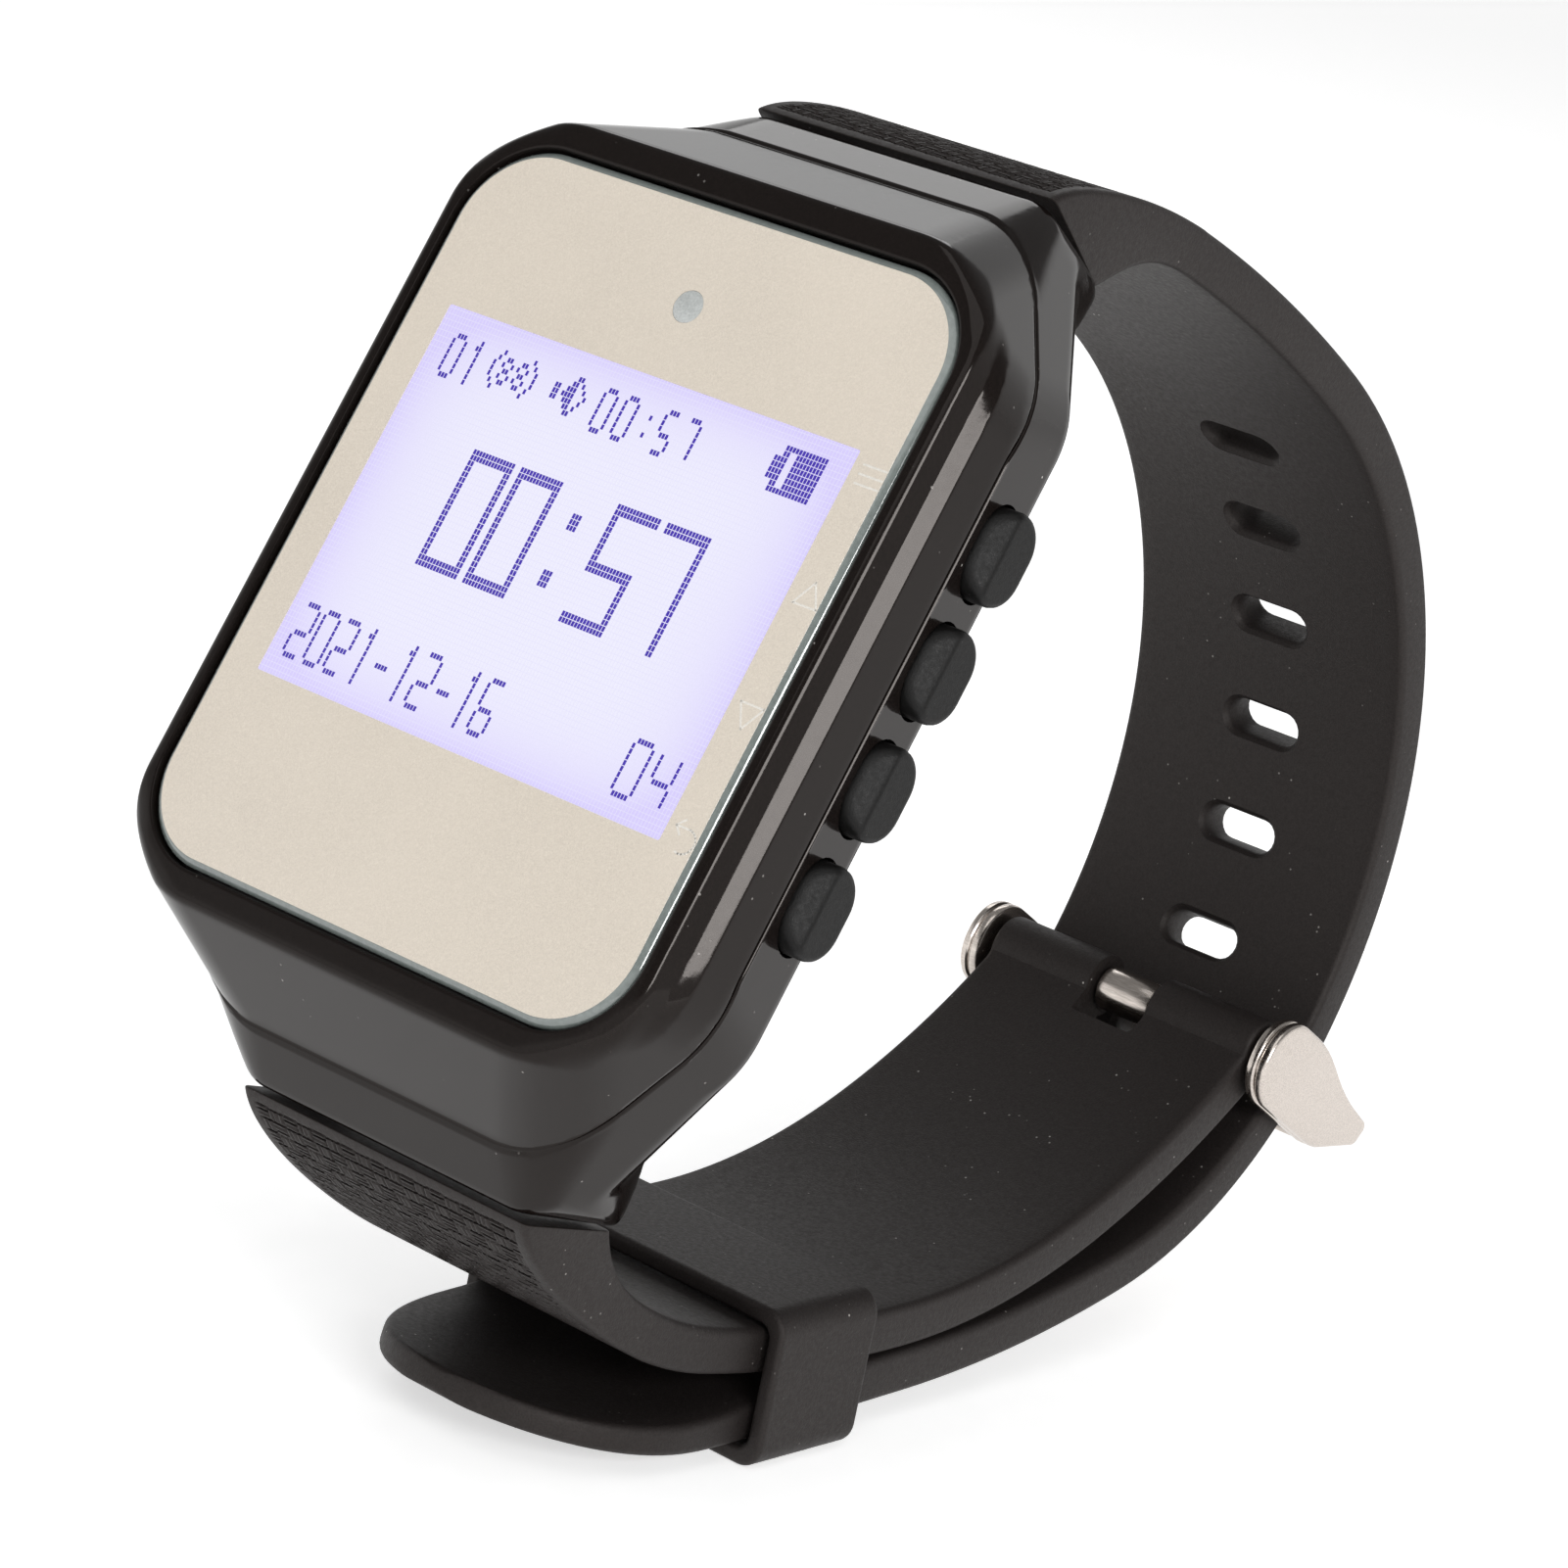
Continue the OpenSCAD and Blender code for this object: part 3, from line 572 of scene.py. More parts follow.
short_root = (((-28.5, -9.68), (-2.4, -2.05)), ((-26.72, -16.3), (-1.8, -1.95)))
rings = strap_rings(SHORT_START, SHORT_ARCS, -1, short_root, SHORT_L - 0.2)
barrel_heading = along(SHORT_START, SHORT_ARCS, SHORT_L)[2] + math.radians(4)
run = np.array([math.cos(barrel_heading), math.sin(barrel_heading)])
rise = np.array([-run[1], run[0]])
BARREL_R = 1.9
for a in np.radians(np.concatenate([np.linspace(136, 12, 16), [6, 2]])):
    centre = np.array([BAR_Y, BAR_Z]) + run * BARREL_R * math.cos(a)
    half = BARREL_R * math.sin(a)
    rings.append(strap_ring(centre + rise * half, centre - rise * half, BAND_HALF, edge=0.35))
NOTCH_W, NOTCH_L, NOTCH_BACK = 4.4, 8, 2.3
notch_outline = rounded(rect(NOTCH_W, NOTCH_L, 0.3)) + np.array([0, BAR_Y - NOTCH_BACK + NOTCH_L / 2])
notch = slab(notch_outline, BAR_Z - 5, BAR_Z + 5, 0.02, "z")
piece("strap_short_skin", loft(rings), SILICONE, "watch", ("strap_short",), [notch])

# ---------------------------------------------------------------- case shells

SIDE = rounded(two_ways([(22, 0, 0.5), (25.7, -6.5, 6), (28.2, -9.6, 0.5), (26.4, -16.1, 0.8),
                         (24.6, -15.9, 1.5), (20.6, -12.1, 5)]))
FRONT = rounded(two_ways([(16.7, 1.2, 0), (17.1, 0, 0.3), (17.6, -1.15, 0.12), (18.28, -1.83, 0.12),
                          (18.5, -4.2, 2), (17.7, -9.4, 1.2), (12.4, -12.2, 1), (9.9, -17, 0.3)]))
PLAN = rounded(four_ways([(21, 13.1, 3), (8.2, 31.1, 0)]), 6)
CORNER_NORMAL, CORNER_SLOPES, CORNER_Z, CORNER_REACH = (0.469, 0.835), (0.288, 0.67), -6.5, 24.35
JOINT_Z, JOINT_END_Z = -4.4, -6.6
JOINT_LEVEL_Y, JOINT_END_Y = 14, 25.8
SIDE_BLEND, PLAN_BLEND, CORNER_BLEND = 0.35, 1.3, 0.9


def outline_distance(outline, p):
    """Signed distance from points to a closed outline, negative inside."""
    nearest = np.full(p.shape[:-1], np.inf)
    inside = np.zeros(p.shape[:-1], bool)
    for a, b in zip(outline, np.roll(outline, -1, 0)):
        e, w = b - a, p - a
        if e @ e < 1e-12:
            continue
        t = np.clip((w @ e) / (e @ e), 0, 1)
        nearest = np.minimum(nearest, np.sum((w - t[..., None] * e) ** 2, -1))
        if e[1] != 0:
            between = (a[1] > p[..., 1]) != (b[1] > p[..., 1])
            inside ^= between & (p[..., 0] < a[0] + (p[..., 1] - a[1]) * e[0] / e[1])
    return np.where(inside, -1, 1) * np.sqrt(nearest)


def smooth_max(a, b, k):
    """The greater of two fields, rounded where they meet over a width of k."""
    h = np.maximum(k - np.abs(a - b), 0) / k
    return np.maximum(a, b) + h * h * k / 4


def case_distance(p):
    """Negative inside the case's outer skin."""
    x, y, z = p[..., 0], p[..., 1], p[..., 2]
    from_side = outline_distance(SIDE, np.stack([y, z], -1))
    d = smooth_max(from_side, outline_distance(FRONT, np.stack([x, z], -1)), SIDE_BLEND)
    corner = (CORNER_NORMAL[0] * np.abs(x) + CORNER_NORMAL[1] * np.abs(y) - CORNER_REACH
              + CORNER_SLOPES[0] * np.maximum(z, CORNER_Z) + CORNER_SLOPES[1] * np.minimum(z - CORNER_Z, 0))
    plan = outline_distance(PLAN, p[..., :2])
    return smooth_max(smooth_max(d, plan, PLAN_BLEND), corner, CORNER_BLEND)


def cast(start, heading, reach):
    """Where rays from inside leave the case."""
    low, high = np.zeros(start.shape[:-1]), np.full(start.shape[:-1], float(reach))
    for _ in range(16):
        middle = (low + high) / 2
        inside = case_distance(start + middle[..., None] * heading) < 0
        low, high = np.where(inside, middle, low), np.where(inside, high, middle)
    return start + ((low + high) / 2)[..., None] * heading


POCKET_X, POCKET_Y, POCKET_R = 16.35, 20.45, 4.95
side_steps = np.concatenate([np.arange(0, 9, 1.5), np.arange(9, 15.4, 0.5)])
end_steps = np.concatenate([np.arange(11.4, 8.2, -0.3), np.arange(7.6, 0.1, -1.5), [0.0]])
base, normal = [], []
for y in side_steps:
    base.append((POCKET_X, y))
    normal.append((1, 0))
for a in np.radians(np.arange(0, 90.1, 3)):
    c = np.array([math.cos(a), math.sin(a)])
    base.append(tuple(np.array([POCKET_X - POCKET_R, POCKET_Y - POCKET_R]) + POCKET_R * c))
    normal.append(tuple(c))
for x in end_steps[1:]:
    base.append((x, POCKET_Y))
    normal.append((0, 1))
base, normal = np.array(base), np.array(normal)
INSET, CORE_Z = 2.3, -5.0
TOP_ANGLE = math.atan2(-CORE_Z, INSET)
angles = np.linspace(TOP_ANGLE, -math.pi / 2, 260)
core = np.concatenate([base - INSET * normal, np.full((len(base), 1), CORE_Z)], 1)
heading = np.stack([np.cos(angles)[None, :] * normal[:, 0:1], np.cos(angles)[None, :] * normal[:, 1:2],
                    np.broadcast_to(np.sin(angles), (len(base), len(angles)))], -1)
skin = cast(np.broadcast_to(core[:, None, :], heading.shape), heading, 22)


def joint_height(y):
    """Z of the line between bezel and shell, level along the sides and lower towards both ends."""
    return np.interp(np.abs(y), [JOINT_LEVEL_Y, JOINT_END_Y], [JOINT_Z, JOINT_END_Z])


def resample(line, count, curl=0.55):
    """count points along a polyline, closer together where it turns."""
    seg = np.diff(line, axis=0)
    length = np.linalg.norm(seg, axis=1)
    unit = seg / np.maximum(length, 1e-9)[:, None]
    turn = np.zeros(len(length))
    turn[1:] = np.arccos(np.clip(np.sum(unit[1:] * unit[:-1], 1), -1, 1))
    turn[:-1] = (turn[:-1] + turn[1:]) / 2
    weight = np.concatenate([[0], np.cumsum(length + curl * np.minimum(turn, 0.6) * (length > 1e-4))])
    at = np.linspace(0, weight[-1], count)
    return np.stack([np.interp(at, weight, line[:, k]) for k in range(3)], 1)


def slice_point(i, q, z):
    """Point at offset q outside the pocket outline in slice i."""
    return np.array([base[i][0] + q * normal[i][0], base[i][1] + q * normal[i][1], z])


WALL_Q, SEAM, LIP = 0.4, 0.07, 0.12
UPPER_N, LOWER_N = 44, 64
LEDGE_IN, LEDGE_HIGH, LEDGE_LOW = 0.9, -1.3, -2.2
CAVITY_IN, CAVITY_FOOT, CAVITY_FLOOR = 2.4, -9.0, -10.9
upper, lower = [], []
for i, line in enumerate(skin):
    height = line[:, 2] - joint_height(line[:, 1])
    k = int(np.argmax(height < 0))
    t = height[k - 1] / (height[k - 1] - height[k])
    joint = line[k - 1] + t * (line[k] - line[k - 1])
    out = np.array([*normal[i], 0])
    up = np.array([0, 0, 1])
    wall = slice_point(i, WALL_Q, 0)
    wall_z = joint_height(wall[1])
    top = resample(np.vstack([line[:k][height[:k] > SEAM + LIP], joint + (SEAM + LIP) * up]), UPPER_N)
    upper.append(np.vstack([slice_point(i, 0, -0.12), slice_point(i, 0.04, -0.03),
                            slice_point(i, 0.12, 0), top[1:],
                            joint - 0.05 * out + (SEAM + 0.05) * up, joint - LIP * out + SEAM * up,
                            slice_point(i, WALL_Q, wall_z + SEAM), slice_point(i, WALL_Q, LEDGE_LOW),
                            slice_point(i, -LEDGE_IN, LEDGE_LOW), slice_point(i, -LEDGE_IN, LEDGE_HIGH),
                            slice_point(i, 0, LEDGE_HIGH)]))
    low = line[k:][height[k:] < -(SEAM + LIP)]
    bottom = resample(np.vstack([joint - (SEAM + LIP) * up, low]), LOWER_N)
    lower.append(np.vstack([slice_point(i, -CAVITY_IN, CAVITY_FLOOR), slice_point(i, WALL_Q, CAVITY_FOOT),
                            slice_point(i, WALL_Q, wall_z - SEAM), joint - LIP * out - SEAM * up,
                            joint - 0.05 * out - (SEAM + 0.05) * up, bottom]))
upper, lower = np.array(upper), np.array(lower)


def all_round(quarter):
    """Four mirrored copies of a quarter's slices, in order round the case."""
    flip_x, flip_y = quarter * [-1, 1, 1], quarter * [1, -1, 1]
    return np.concatenate([quarter, flip_x[::-1][1:], (-quarter * [1, 1, -1])[1:], flip_y[::-1][1:-1]])


bezel_rings = all_round(upper)
shell_rings = all_round(lower)
bottom_ring = shell_rings[:, -1, :]
middle = np.stack([np.zeros(len(bottom_ring)), np.clip(bottom_ring[:, 1], -5, 5)], 1)
levels = []
for t in (0.06, 0.13, 0.22, 0.35, 0.5, 0.65, 0.8):
    xy = bottom_ring[:, :2] * (1 - t) + middle * t
    start = np.concatenate([xy, np.full((len(xy), 1), CORE_Z)], 1)
    levels.append(cast(start, np.broadcast_to(np.array([0.0, 0.0, -1.0]), start.shape), 12)[:, None, :])
shell_rings = np.concatenate([shell_rings] + levels, 1)

bezel = new_mesh("case_bezel", *loft(bezel_rings.transpose(1, 0, 2), loop=True))
shell = new_mesh("case_shell", *loft(shell_rings.transpose(1, 0, 2)))

BUTTON_Z, BUTTON_MID, BUTTON_PITCH, BUTTON_L, BUTTON_H = -7.2, 0.36, 6.37, 4.9, 3.6
BUTTONS = [(name, BUTTON_MID + BUTTON_PITCH * (1.5 - i))
           for i, name in enumerate(("menu", "up", "down", "back"))]
SCREWS = [(x, y) for x in (-11.6, 11.6) for y in (-18.6, 18.6)]


def disc(x, y, r, steps=40):
    """Outline of a circle."""
    a = np.linspace(0, 2 * math.pi, steps, endpoint=False)
    return np.stack([x + r * np.cos(a), y + r * np.sin(a)], 1)


BUTTON_GAP, CRISP = 0.34, 0.01
BUTTON_DEPTHS, SCREW_DEPTHS, HOLE_DEPTHS = (14.5, 22), (-14, -11.15), (-13.5, -11.3)
SCREW_R, SOUND_Y, SOUND_CIRCLE, SOUND_R, PAD_X, PAD_Y, PAD_R = 1.6, 16.4, 2, 0.45, 3, -6, 1.03
LUG_HALF, LUG_FROM, LUG_TO, LUG_HIGH = 8.3, 23.2, 32, -10.8
button_cutters = []
for _, y in BUTTONS:
    hole = stadium(BUTTON_L + BUTTON_GAP, BUTTON_H + BUTTON_GAP, 16) + np.array([y, BUTTON_Z])
    button_cutters.append(slab(hole, *BUTTON_DEPTHS, CRISP, steps=1))
under = [slab(disc(x, y, SCREW_R), *SCREW_DEPTHS, CRISP, "z", 1) for x, y in SCREWS]
for a in np.radians(np.arange(0, 359, 72)):
    hole = disc(SOUND_CIRCLE * math.cos(a), SOUND_Y + SOUND_CIRCLE * math.sin(a), SOUND_R, 20)
    under.append(slab(hole, *HOLE_DEPTHS, CRISP, "z", 1))
under += [slab(disc(x, PAD_Y, PAD_R), *HOLE_DEPTHS, CRISP, "z", 1) for x in (-PAD_X, PAD_X)]
notches = []
for s in (1, -1):
    box = rounded([(-LUG_HALF, s * LUG_FROM, 0.4), (-LUG_HALF, s * LUG_TO, 0), (LUG_HALF, s * LUG_TO, 0),
                   (LUG_HALF, s * LUG_FROM, 0.4)])
    notches.append(slab(box, -20, LUG_HIGH, 0.02, "z", 1))
cut(shell, [merged(button_cutters), merged(under), merged(notches)])
done(bezel, GLOSS, "watch", ("front_bezel",), 40)
done(shell, GLOSS, "watch", ("rear_shell",), 40)

# ---------------------------------------------------------------- glass, lamp and screen

GLASS_W, GLASS_L, GLASS_R = 32.4, 40.6, 4.8
EDGE_IN, EDGE_DROP = 0.4, 0.24
LAMP_X, LAMP_Y, LAMP_R = 0.27, 14.85, 0.88
FLAT_SHARP = 30
glass_outline = rounded(rect(GLASS_W, GLASS_L, GLASS_R), 4)


def flat_ring(outline, z):
    """An outline as a ring at height z."""
    return np.concatenate([outline, np.full((len(outline), 1), z)], 1)


edge_levels = ((EDGE_IN, -GLASS_T), (0, -GLASS_T), (0, -EDGE_DROP - 0.12), (0.03, -EDGE_DROP - 0.04),
               (0.1, -EDGE_DROP + 0.02), (EDGE_IN - 0.08, -0.02), (EDGE_IN, 0))
edge_rings = [flat_ring(outline_inset(glass_outline, d), z) for d, z in edge_levels]
piece("glass_bevel", loft(edge_rings, loop=True), GLASS_EDGE, "watch", ("cover_glass",),
      sharp=FLAT_SHARP)
print_shape = slab(outline_inset(glass_outline, EDGE_IN + 0.005), -GLASS_T, 0, 0.004, "z", 1)
window = slab(rounded(rect(WINDOW_W, WINDOW_H, 0.12)) + np.array([WINDOW_X, WINDOW_Y]), -2, 1, CRISP, "z", 1)
lamp_hole = slab(disc(LAMP_X, LAMP_Y, LAMP_R, 48), -2, 1, CRISP, "z", 1)
piece("glass_print", print_shape, PRINT, "watch", ("mirror_film",),
      [merged([window, lamp_hole])], FLAT_SHARP)
piece("lamp_lens", slab(disc(LAMP_X, LAMP_Y, LAMP_R - 0.01, 48), -0.9, -0.005, 0.02, "z", 2), LAMP, "watch")

SCREEN_Z, DOT_RISE = -0.03, 0.012
panel = rounded(rect(WINDOW_W - 0.01, WINDOW_H - 0.01, 0.12)) + np.array([WINDOW_X, WINDOW_Y])
screen = piece("lcd_screen", slab(panel, -0.9, SCREEN_Z, 0.004, "z", 1), lcd_material(), "watch",
               ("lcd_panel",), sharp=FLAT_SHARP)
layer = screen.data.uv_layers.new(name="panel")
inverse = np.linalg.inv(TURN)
for loop in screen.data.loops:
    p = inverse @ (np.array(screen.data.vertices[loop.vertex_index].co) - ORIGIN) * MM_PER_M
    layer.data[loop.index].uv = (p[0] - WINDOW_X + WINDOW_W / 2, p[1] - WINDOW_Y + WINDOW_H / 2)

SEGMENTS = {"0": "abcdef", "1": "", "2": "abged", "3": "abgcd", "4": "fgbc", "5": "afgcd", "6": "afgedc",
            "7": "abc", "8": "abcdefg", "9": "abcdfg", "-": "g", ":": ""}


def digit_dots(text, col, row, w, h, step, weight=1, open_corners=True):
    """Dots of seven-segment numbers, w columns by h rows, step columns apart, with strokes of weight dots."""
    dots = set()
    mid = h // 2
    ends = weight if open_corners else 0
    for i, char in enumerate(text):
        x0 = col + i * step
        waist = mid + ends if "g" in SEGMENTS[char] else mid
        spans = {"a": (ends, w - ends, 0, weight), "d": (ends, w - ends, h - weight, h),
                 "g": (ends, w - ends, mid, mid + weight), "f": (0, weight, ends, mid),
                 "e": (0, weight, waist, h - ends), "b": (w - weight, w, ends, mid),
                 "c": (w - weight, w, waist, h - ends)}
        for key in SEGMENTS[char]:
            c0, c1, r0, r1 = spans[key]
            dots |= {(x0 + c, row + r) for c in range(c0, c1) for r in range(r0, r1)}
        if char == "1":
            dots |= {(x0 + w // 2, row + r) for r in range(h)} | {(x0 + w // 2 - 1, row + 1)}
        if char == ":":
            dots |= {(x0 + w // 2 + c, row + r + k) for r in (h // 4, 3 * h // 4 - 1)
                     for c in range(weight) for k in range(weight)}
    return dots


def icon_dots(col, row, w, h, inside):
    """Dots of a w by h picture where inside(column, row) holds."""
    return {(col + c, row + r) for c in range(w) for r in range(h) if inside(c, r)}


SMALL, LARGE, DATE, COUNT = (5, 8, 7), (14, 21, 16, 2, False), (6, 10, 7), (7, 10, 9)
TOP_ROW, MIDDLE_ROW, BOTTOM_ROW = 4, 21, 54
dots = digit_dots("01", 6, TOP_ROW, *SMALL)
BUZZ = ((7, 3, 2), (7, 4, 1), (6, 3, 2), (5,))
dots |= icon_dots(21, TOP_ROW, 15, 7, lambda c, r: abs(c - 7) in BUZZ[abs(r - 3)])
dots |= icon_dots(42, TOP_ROW, 11, 7, lambda c, r: (c < 2 and abs(r - 3) < 2)
                  or (3 <= c < 7 and abs(r - 3) <= c - 3) or c + abs(r - 3) == 10)
for text, col in (("00", 57), (":", 71), ("57", 77)):
    dots |= digit_dots(text, col, TOP_ROW, *SMALL)
dots |= icon_dots(112, TOP_ROW - 1, 15, 8, lambda c, r: (c < 2 and 2 <= r < 6) or 2 <= c < 4 or c >= 6
                  or r in (0, 7) and c >= 2)
for text, col in (("00", 29), ("57", 77)):
    dots |= digit_dots(text, col, MIDDLE_ROW, *LARGE)
dots |= {(c, r) for c in range(66, 69) for r in (25, 26, 27, 35, 36, 37)}
dots |= digit_dots("2021-12-16", 4, BOTTOM_ROW, *DATE)
dots |= digit_dots("04", 114, BOTTOM_ROW, *COUNT)
LCD_LEFT, LCD_TOP, DOT_GAP = -13.55, 10.98, 0.021
dot_parts = []
for c, r in sorted(dots):
    x0, y0 = LCD_LEFT + c * DOT_W + DOT_GAP, LCD_TOP - (r + 1) * DOT_H + DOT_GAP
    x1, y1 = x0 + DOT_W - 2 * DOT_GAP, y0 + DOT_H - 2 * DOT_GAP
    outline = np.array([(x0, y0), (x1, y0), (x1, y1), (x0, y1)])
    dot_parts.append(slab(outline, SCREEN_Z - 0.02, SCREEN_Z + DOT_RISE, 0.002, "z", 1))
piece("lcd_dots", merged(dot_parts), INK, "watch", sharp=FLAT_SHARP)


def ribbon(points, width=0.11, closed=False):
    """A thin raised line on the glass through points in X and Y."""
    points = np.array(points, float)
    spans = list(zip(points, np.roll(points, -1, 0))) if closed else list(zip(points[:-1], points[1:]))
    parts = []
    for a, b in spans:
        u = (b - a) / np.linalg.norm(b - a)
        v = np.array([-u[1], u[0]]) * width / 2
        u = u * width / 2
        outline = np.array([a - u - v, b + u - v, b + u + v, a - u + v])
        parts.append(slab(outline, -0.05, 0.006, 0.002, "z", 1))
    return merged(parts)


ICON_X = 15.0
arc = [(ICON_X + 0.1 + 0.62 * math.cos(a), -9.5 + 0.62 * math.sin(a))
       for a in np.radians(np.linspace(90, -110, 12))]
icons = [ribbon([(ICON_X - 0.7, 9.9 + k), (ICON_X + 0.7, 9.9 + k)]) for k in (-0.5, 0, 0.5)]
icons.append(ribbon([(ICON_X - 0.72, 3.0), (ICON_X + 0.72, 3.0), (ICON_X, 4.25)], closed=True))
icons.append(ribbon([(ICON_X - 0.72, -2.3), (ICON_X + 0.72, -2.3), (ICON_X, -3.55)], closed=True))
icons.append(ribbon([(ICON_X - 0.75, -8.88)] + arc))
icons.append(ribbon([(ICON_X - 0.35, -8.5), (ICON_X - 0.75, -8.88), (ICON_X - 0.35, -9.26)]))
piece("key_symbols", merged(icons), ICON, "watch", sharp=FLAT_SHARP)

# ---------------------------------------------------------------- buttons

BUTTON_IN, BUTTON_REACH, SLOPE_X, SLOPE, BUTTON_ROUND = 15.6, 19.3, 18.35, 0.9, 0.4


def button_shape(y0):
    """A cap with a straight stem, a rounded rim and a face that slopes in towards the display."""
    rings = []
    for x, d in ((BUTTON_IN, 0.15), (BUTTON_IN + 0.1, 0.03), (BUTTON_IN + 0.2, 0), (17.0, 0), (17.4, 0)):
        p = stadium(BUTTON_L - 2 * d, BUTTON_H - 2 * d, 20)
        rings.append(np.stack([np.full(len(p), x), p[:, 0] + y0, p[:, 1] + BUTTON_Z], 1))
    for d in np.concatenate([np.linspace(0, BUTTON_ROUND, 7), np.linspace(0.5, 1.72, 11)]):
        p = stadium(BUTTON_L - 2 * d, BUTTON_H - 2 * d, 20)
        rest = BUTTON_ROUND - min(d, BUTTON_ROUND)
        drop = BUTTON_ROUND - math.sqrt(max(0, BUTTON_ROUND ** 2 - rest ** 2))
        slope = SLOPE_X + SLOPE * (BUTTON_H / 2 - p[:, 1])
        x = -smooth_max(-slope, np.full(len(p), -BUTTON_REACH), 0.1) - drop
        rings.append(np.stack([x, p[:, 0] + y0, p[:, 1] + BUTTON_Z], 1))
    return loft(rings)


for name, y in BUTTONS:
    piece(f"cap_{name}", button_shape(y), BUTTON, f"button_{name}", (f"button_{name}",),
          sharp=28)

# ---------------------------------------------------------------- keeper

KEEPER_Y, KEEPER_Z, KEEPER_TURN = -28.4, -38.0, math.radians(-63.5)
KEEPER_L, KEEPER_IN_W, KEEPER_IN_H, KEEPER_WALL = 8.1, 19.8, 6.9, 1.0
inner_line = rounded(rect(KEEPER_IN_W, KEEPER_IN_H, 0.7), 10)
outer_line = rounded(rect(KEEPER_IN_W + 2 * KEEPER_WALL, KEEPER_IN_H + 2 * KEEPER_WALL, 1.4), 10)
ROUND = 0.3
rim = [(ROUND * (1 - math.cos(a)), KEEPER_L / 2 - ROUND * (1 - math.sin(a)))
       for a in np.linspace(0, math.pi / 2, 5)]
half_side = [(0, 0.3), (0, KEEPER_L / 2 - ROUND - 0.1)] + rim
rings = [(outer_line, d, w) for d, w in half_side] + [(inner_line, -d, w) for d, w in half_side[::-1]]
rings += [(inner_line, -d, -w) for d, w in half_side] + [(outer_line, d, -w) for d, w in half_side[::-1]]
shape = []
for outline, d, w in rings:
    p = outline_inset(outline, d)
    shape.append(np.stack([p[:, 0], KEEPER_Y + w * math.cos(KEEPER_TURN) - p[:, 1] * math.sin(KEEPER_TURN),
                           KEEPER_Z + w * math.sin(KEEPER_TURN) + p[:, 1] * math.cos(KEEPER_TURN)], 1))
piece("keeper_band", loft(shape, loop=True), SILICONE, "keeper_loop", ("keeper_loop",))

# ---------------------------------------------------------------- buckle

FIN = rounded([(3.2, -64.2, 2.6), (2.95, -70, 9), (1.2, -74.4, 14), (0.65, -78.2, 0.5), (-0.9, -77.8, 0.6),
               (-2.5, -73.6, 3), (-2.15, -64.2, 2.5)], 3)
CROSS = rounded([(-2.45, -73.6, 0.5), (-1.2, -73.2, 0.5), (0.1, -77, 0.5), (-0.95, -77.5, 0.5)])
ARM_IN, ARM_OUT = 10.0, 11.3


def arm(sign):
    """A polished arm with a rounded outer rim and a groove round its edge."""
    levels = [(ARM_IN, 0.2), (ARM_IN + 0.06, 0.06), (ARM_IN + 0.2, 0), (10.5, 0), (10.58, 0.05),
              (10.64, 0.16), (10.7, 0.16), (10.76, 0.05), (10.84, 0), (11.1, 0.02), (11.2, 0.07),
              (11.27, 0.15), (ARM_OUT, 0.28)]
    rings = []
    for x, d in levels:
        p = outline_inset(FIN, d)
        rings.append(np.stack([np.full(len(p), sign * x), p[:, 0], p[:, 1]], 1))
    return loft(rings)


buckle = new_mesh("buckle_body", *slab(CROSS, -ARM_IN - 0.4, ARM_IN + 0.4, 0.1, steps=2))
cut(buckle, [arm(1), arm(-1)], "UNION")
done(buckle, NICKEL, "buckle_frame", ("buckle_frame",), 35)

ROLL_R, ROLL_HOLE_R, ROLL_HALF = 1.35, 0.78, 1.9
roll_out, roll_in = disc(BAR_Y, BAR_Z, ROLL_R, 48), disc(BAR_Y, BAR_Z, ROLL_HOLE_R, 48)
roll_rim = [(roll_out, 0.12, ROLL_HALF), (roll_out, 0.03, ROLL_HALF - 0.04), (roll_out, 0, ROLL_HALF - 0.14)]
roll_rings = [(outline, d, -x) for outline, d, x in roll_rim] + roll_rim[::-1]
shape = []
for outline, d, x in roll_rings + [(roll_in, 0, ROLL_HALF), (roll_in, 0, -ROLL_HALF)]:
    p = outline_inset(outline, d)
    shape.append(np.stack([np.full(len(p), x), p[:, 0], p[:, 1]], 1))
tongue = new_mesh("tongue_body", *loft(shape, loop=True))
PRONG = rounded([(0.25, -67.2, 0), (1, -67.2, 0), (0.1, -70.8, 2), (0, -73.8, 0.3), (-0.65, -73.8, 0.3),
                 (-0.65, -70.8, 2)])
cut(tongue, [slab(PRONG, -0.75, 0.75, 0.12)], "UNION")
seam = slab(np.array([(BAR_Y - 0.9, BAR_Z + 0.92), (BAR_Y - 0.84, BAR_Z + 0.86), (BAR_Y - 1.1, BAR_Z + 1.3),
                      (BAR_Y - 1.2, BAR_Z + 1.2)])[::-1], -3, 3, 0.005, steps=1)
cut(tongue, [seam])
done(tongue, NICKEL, "buckle_tongue", ("buckle_tongue",), 35)

# ---------------------------------------------------------------- carried-over CAD parts

CARRIED = {
    "glass_gasket": GASKET, "lcd_backlight": WHITE, "lcd_holder": WHITE, "lcd_flex": FLEX,
    "lamp_light_pipe": CLEAR, "main_board": BOARD, "board_chips": CHIP, "shield_can": STEEL,
    "battery": CELL, "battery_tape": TAPE, "vibration_motor": STEEL, "motor_weight": STEEL,
    "speaker": CHIP, "antenna_strip": GOLD, "side_switches": STEEL, "case_screws": STEEL,
    "board_screws": STEEL, "charge_contacts": GOLD, "lug_bars": STEEL, "buckle_bar": NICKEL,
}
for node, material in CARRIED.items():
    obj = frame["nodes"][node]
    if not obj.material_slots:
        obj.data.materials.append(material)
    for s in obj.material_slots:
        s.material = material

# ---------------------------------------------------------------- floor and light

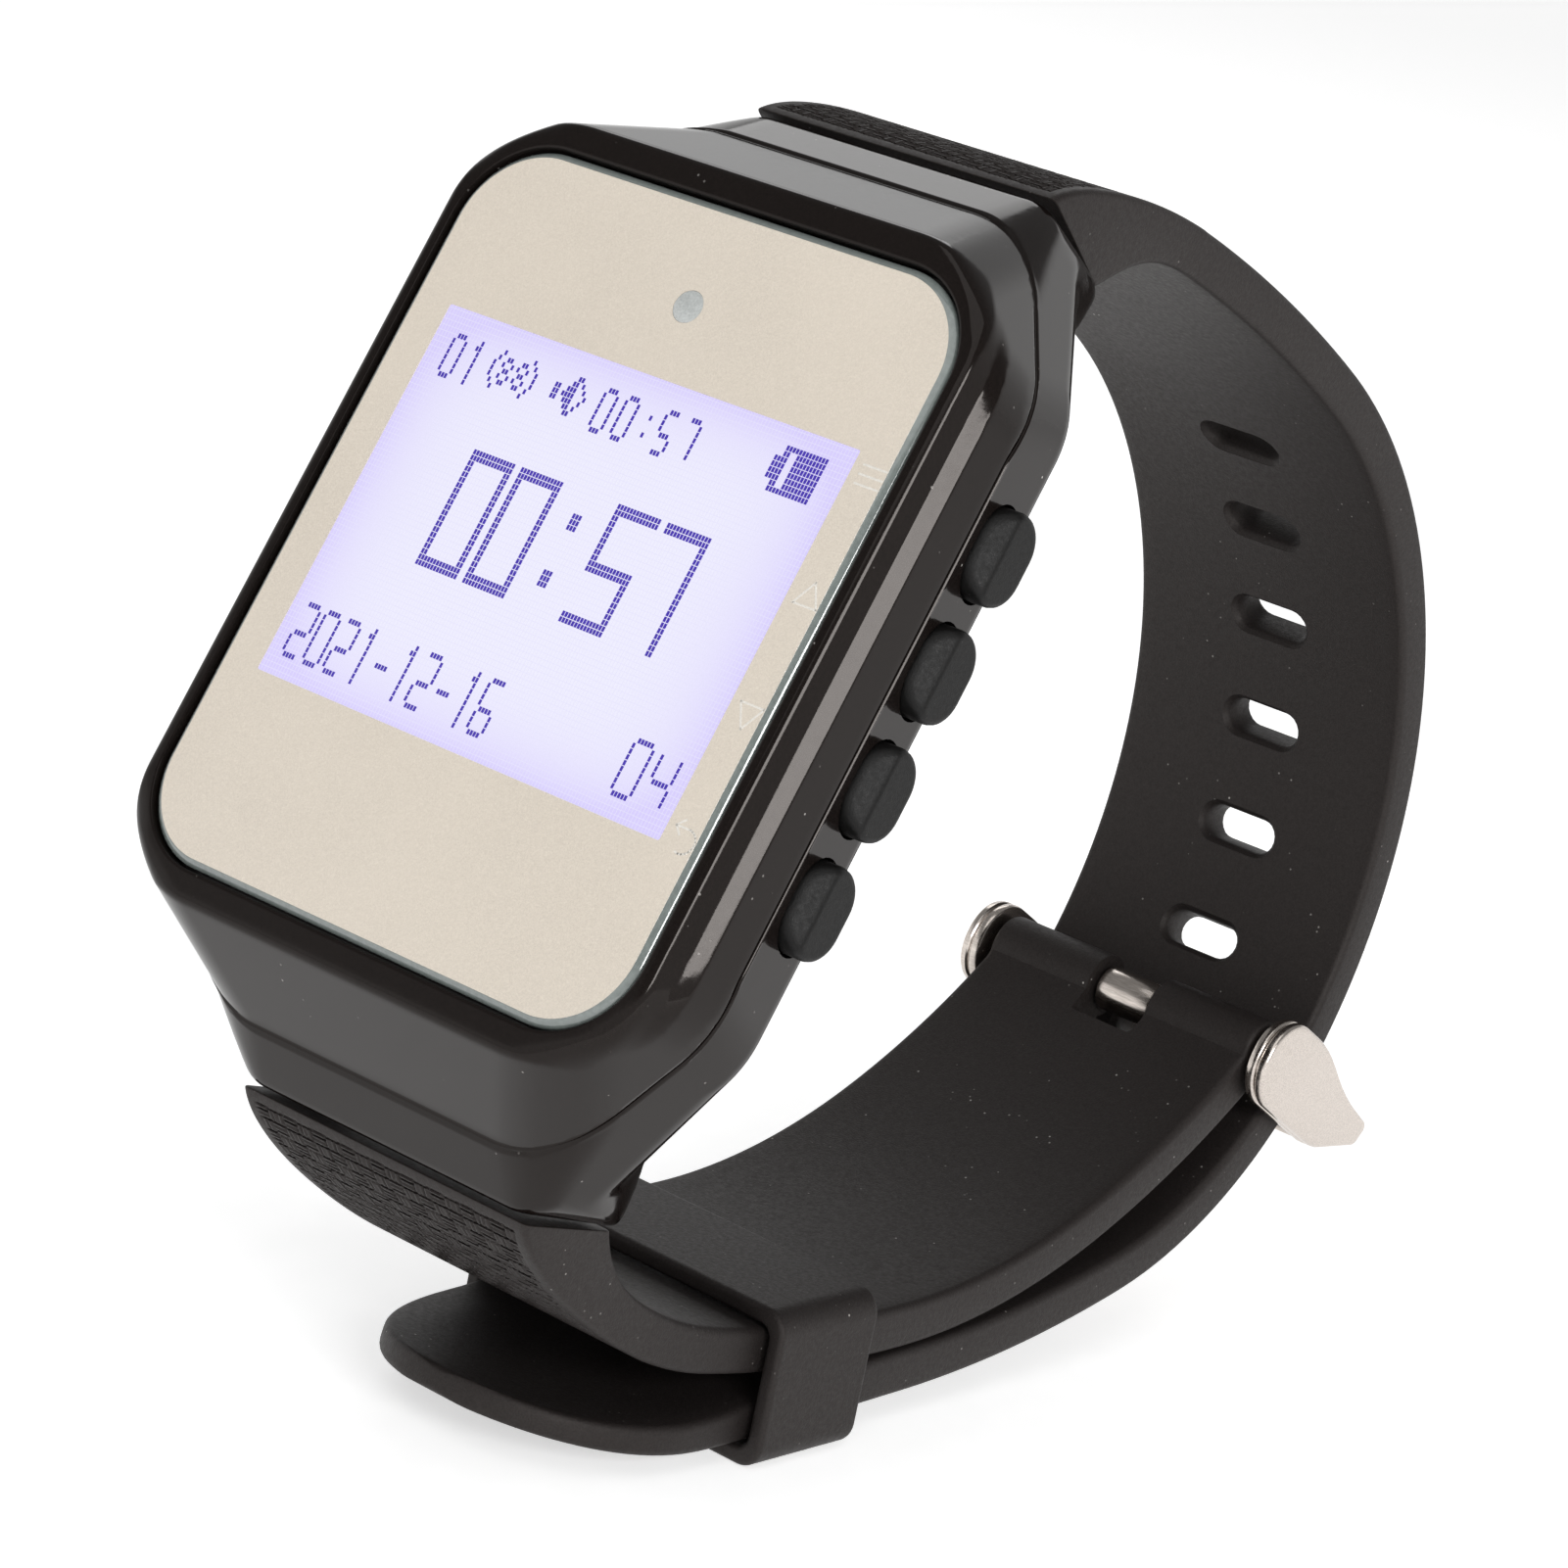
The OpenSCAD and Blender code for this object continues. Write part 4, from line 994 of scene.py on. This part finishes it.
FLOOR_R = 9.0
floor_mesh = bpy.data.meshes.new("floor")
bm = bmesh.new()
bmesh.ops.create_circle(bm, cap_ends=True, segments=96, radius=FLOOR_R)
bm.to_mesh(floor_mesh)
bm.free()
floor = bpy.data.objects.new("floor", floor_mesh)
scene.collection.objects.link(floor)
paper = Nodes("floor_paper")
paper.link(paper.ramp(paper.noise(0.4, 3), 0.86, 0.9), paper.shader.inputs["Base Color"])
paper.set(Roughness=0.9, Emission_Color=(1, 1, 1, 1), Emission_Strength=0.56)
floor_mesh.materials.append(paper.material)

world = bpy.data.worlds.new("studio")
world.use_nodes = True
sky = world.node_tree
direction = sky.nodes.new("ShaderNodeTexCoord")
parts = sky.nodes.new("ShaderNodeSeparateXYZ")
fade = sky.nodes.new("ShaderNodeValToRGB")
fade.color_ramp.elements[0].position, fade.color_ramp.elements[0].color = 0.3, (1, 1, 1, 1)
fade.color_ramp.elements[1].position, fade.color_ramp.elements[1].color = 0.45, (0.28, 0.28, 0.28, 1)
sky.links.new(direction.outputs["Generated"], parts.inputs["Vector"])
sky.links.new(parts.outputs["Z"], fade.inputs["Fac"])
sky.links.new(fade.outputs["Color"], sky.nodes["Background"].inputs["Color"])
sky.nodes["Background"].inputs["Strength"].default_value = 0.95
scene.world = world


AIM_Z = 0.035


def area_light(name, towards, distance, size, power):
    """A soft panel in a direction from the middle of the object, facing it."""
    data = bpy.data.lights.new(name, "AREA")
    data.shape, data.size, data.size_y, data.energy = "RECTANGLE", size[0], size[1], power
    light = bpy.data.objects.new(name, data)
    scene.collection.objects.link(light)
    away = Vector(towards).normalized()
    light.matrix_world = (Matrix.Translation(Vector((0, 0, AIM_Z)) + away * distance)
                          @ away.to_track_quat("Z", "Y").to_matrix().to_4x4())


area_light("key", towards=(0.15, -0.45, 0.88), distance=0.8, size=(0.8, 0.8), power=1.9)
area_light("edge", towards=(0.80, -0.46, 0.38), distance=0.6, size=(0.3, 0.12), power=1.5)
area_light("back", towards=(-0.586, 0.592, 0.553), distance=0.7, size=(0.34, 0.2), power=0.36)
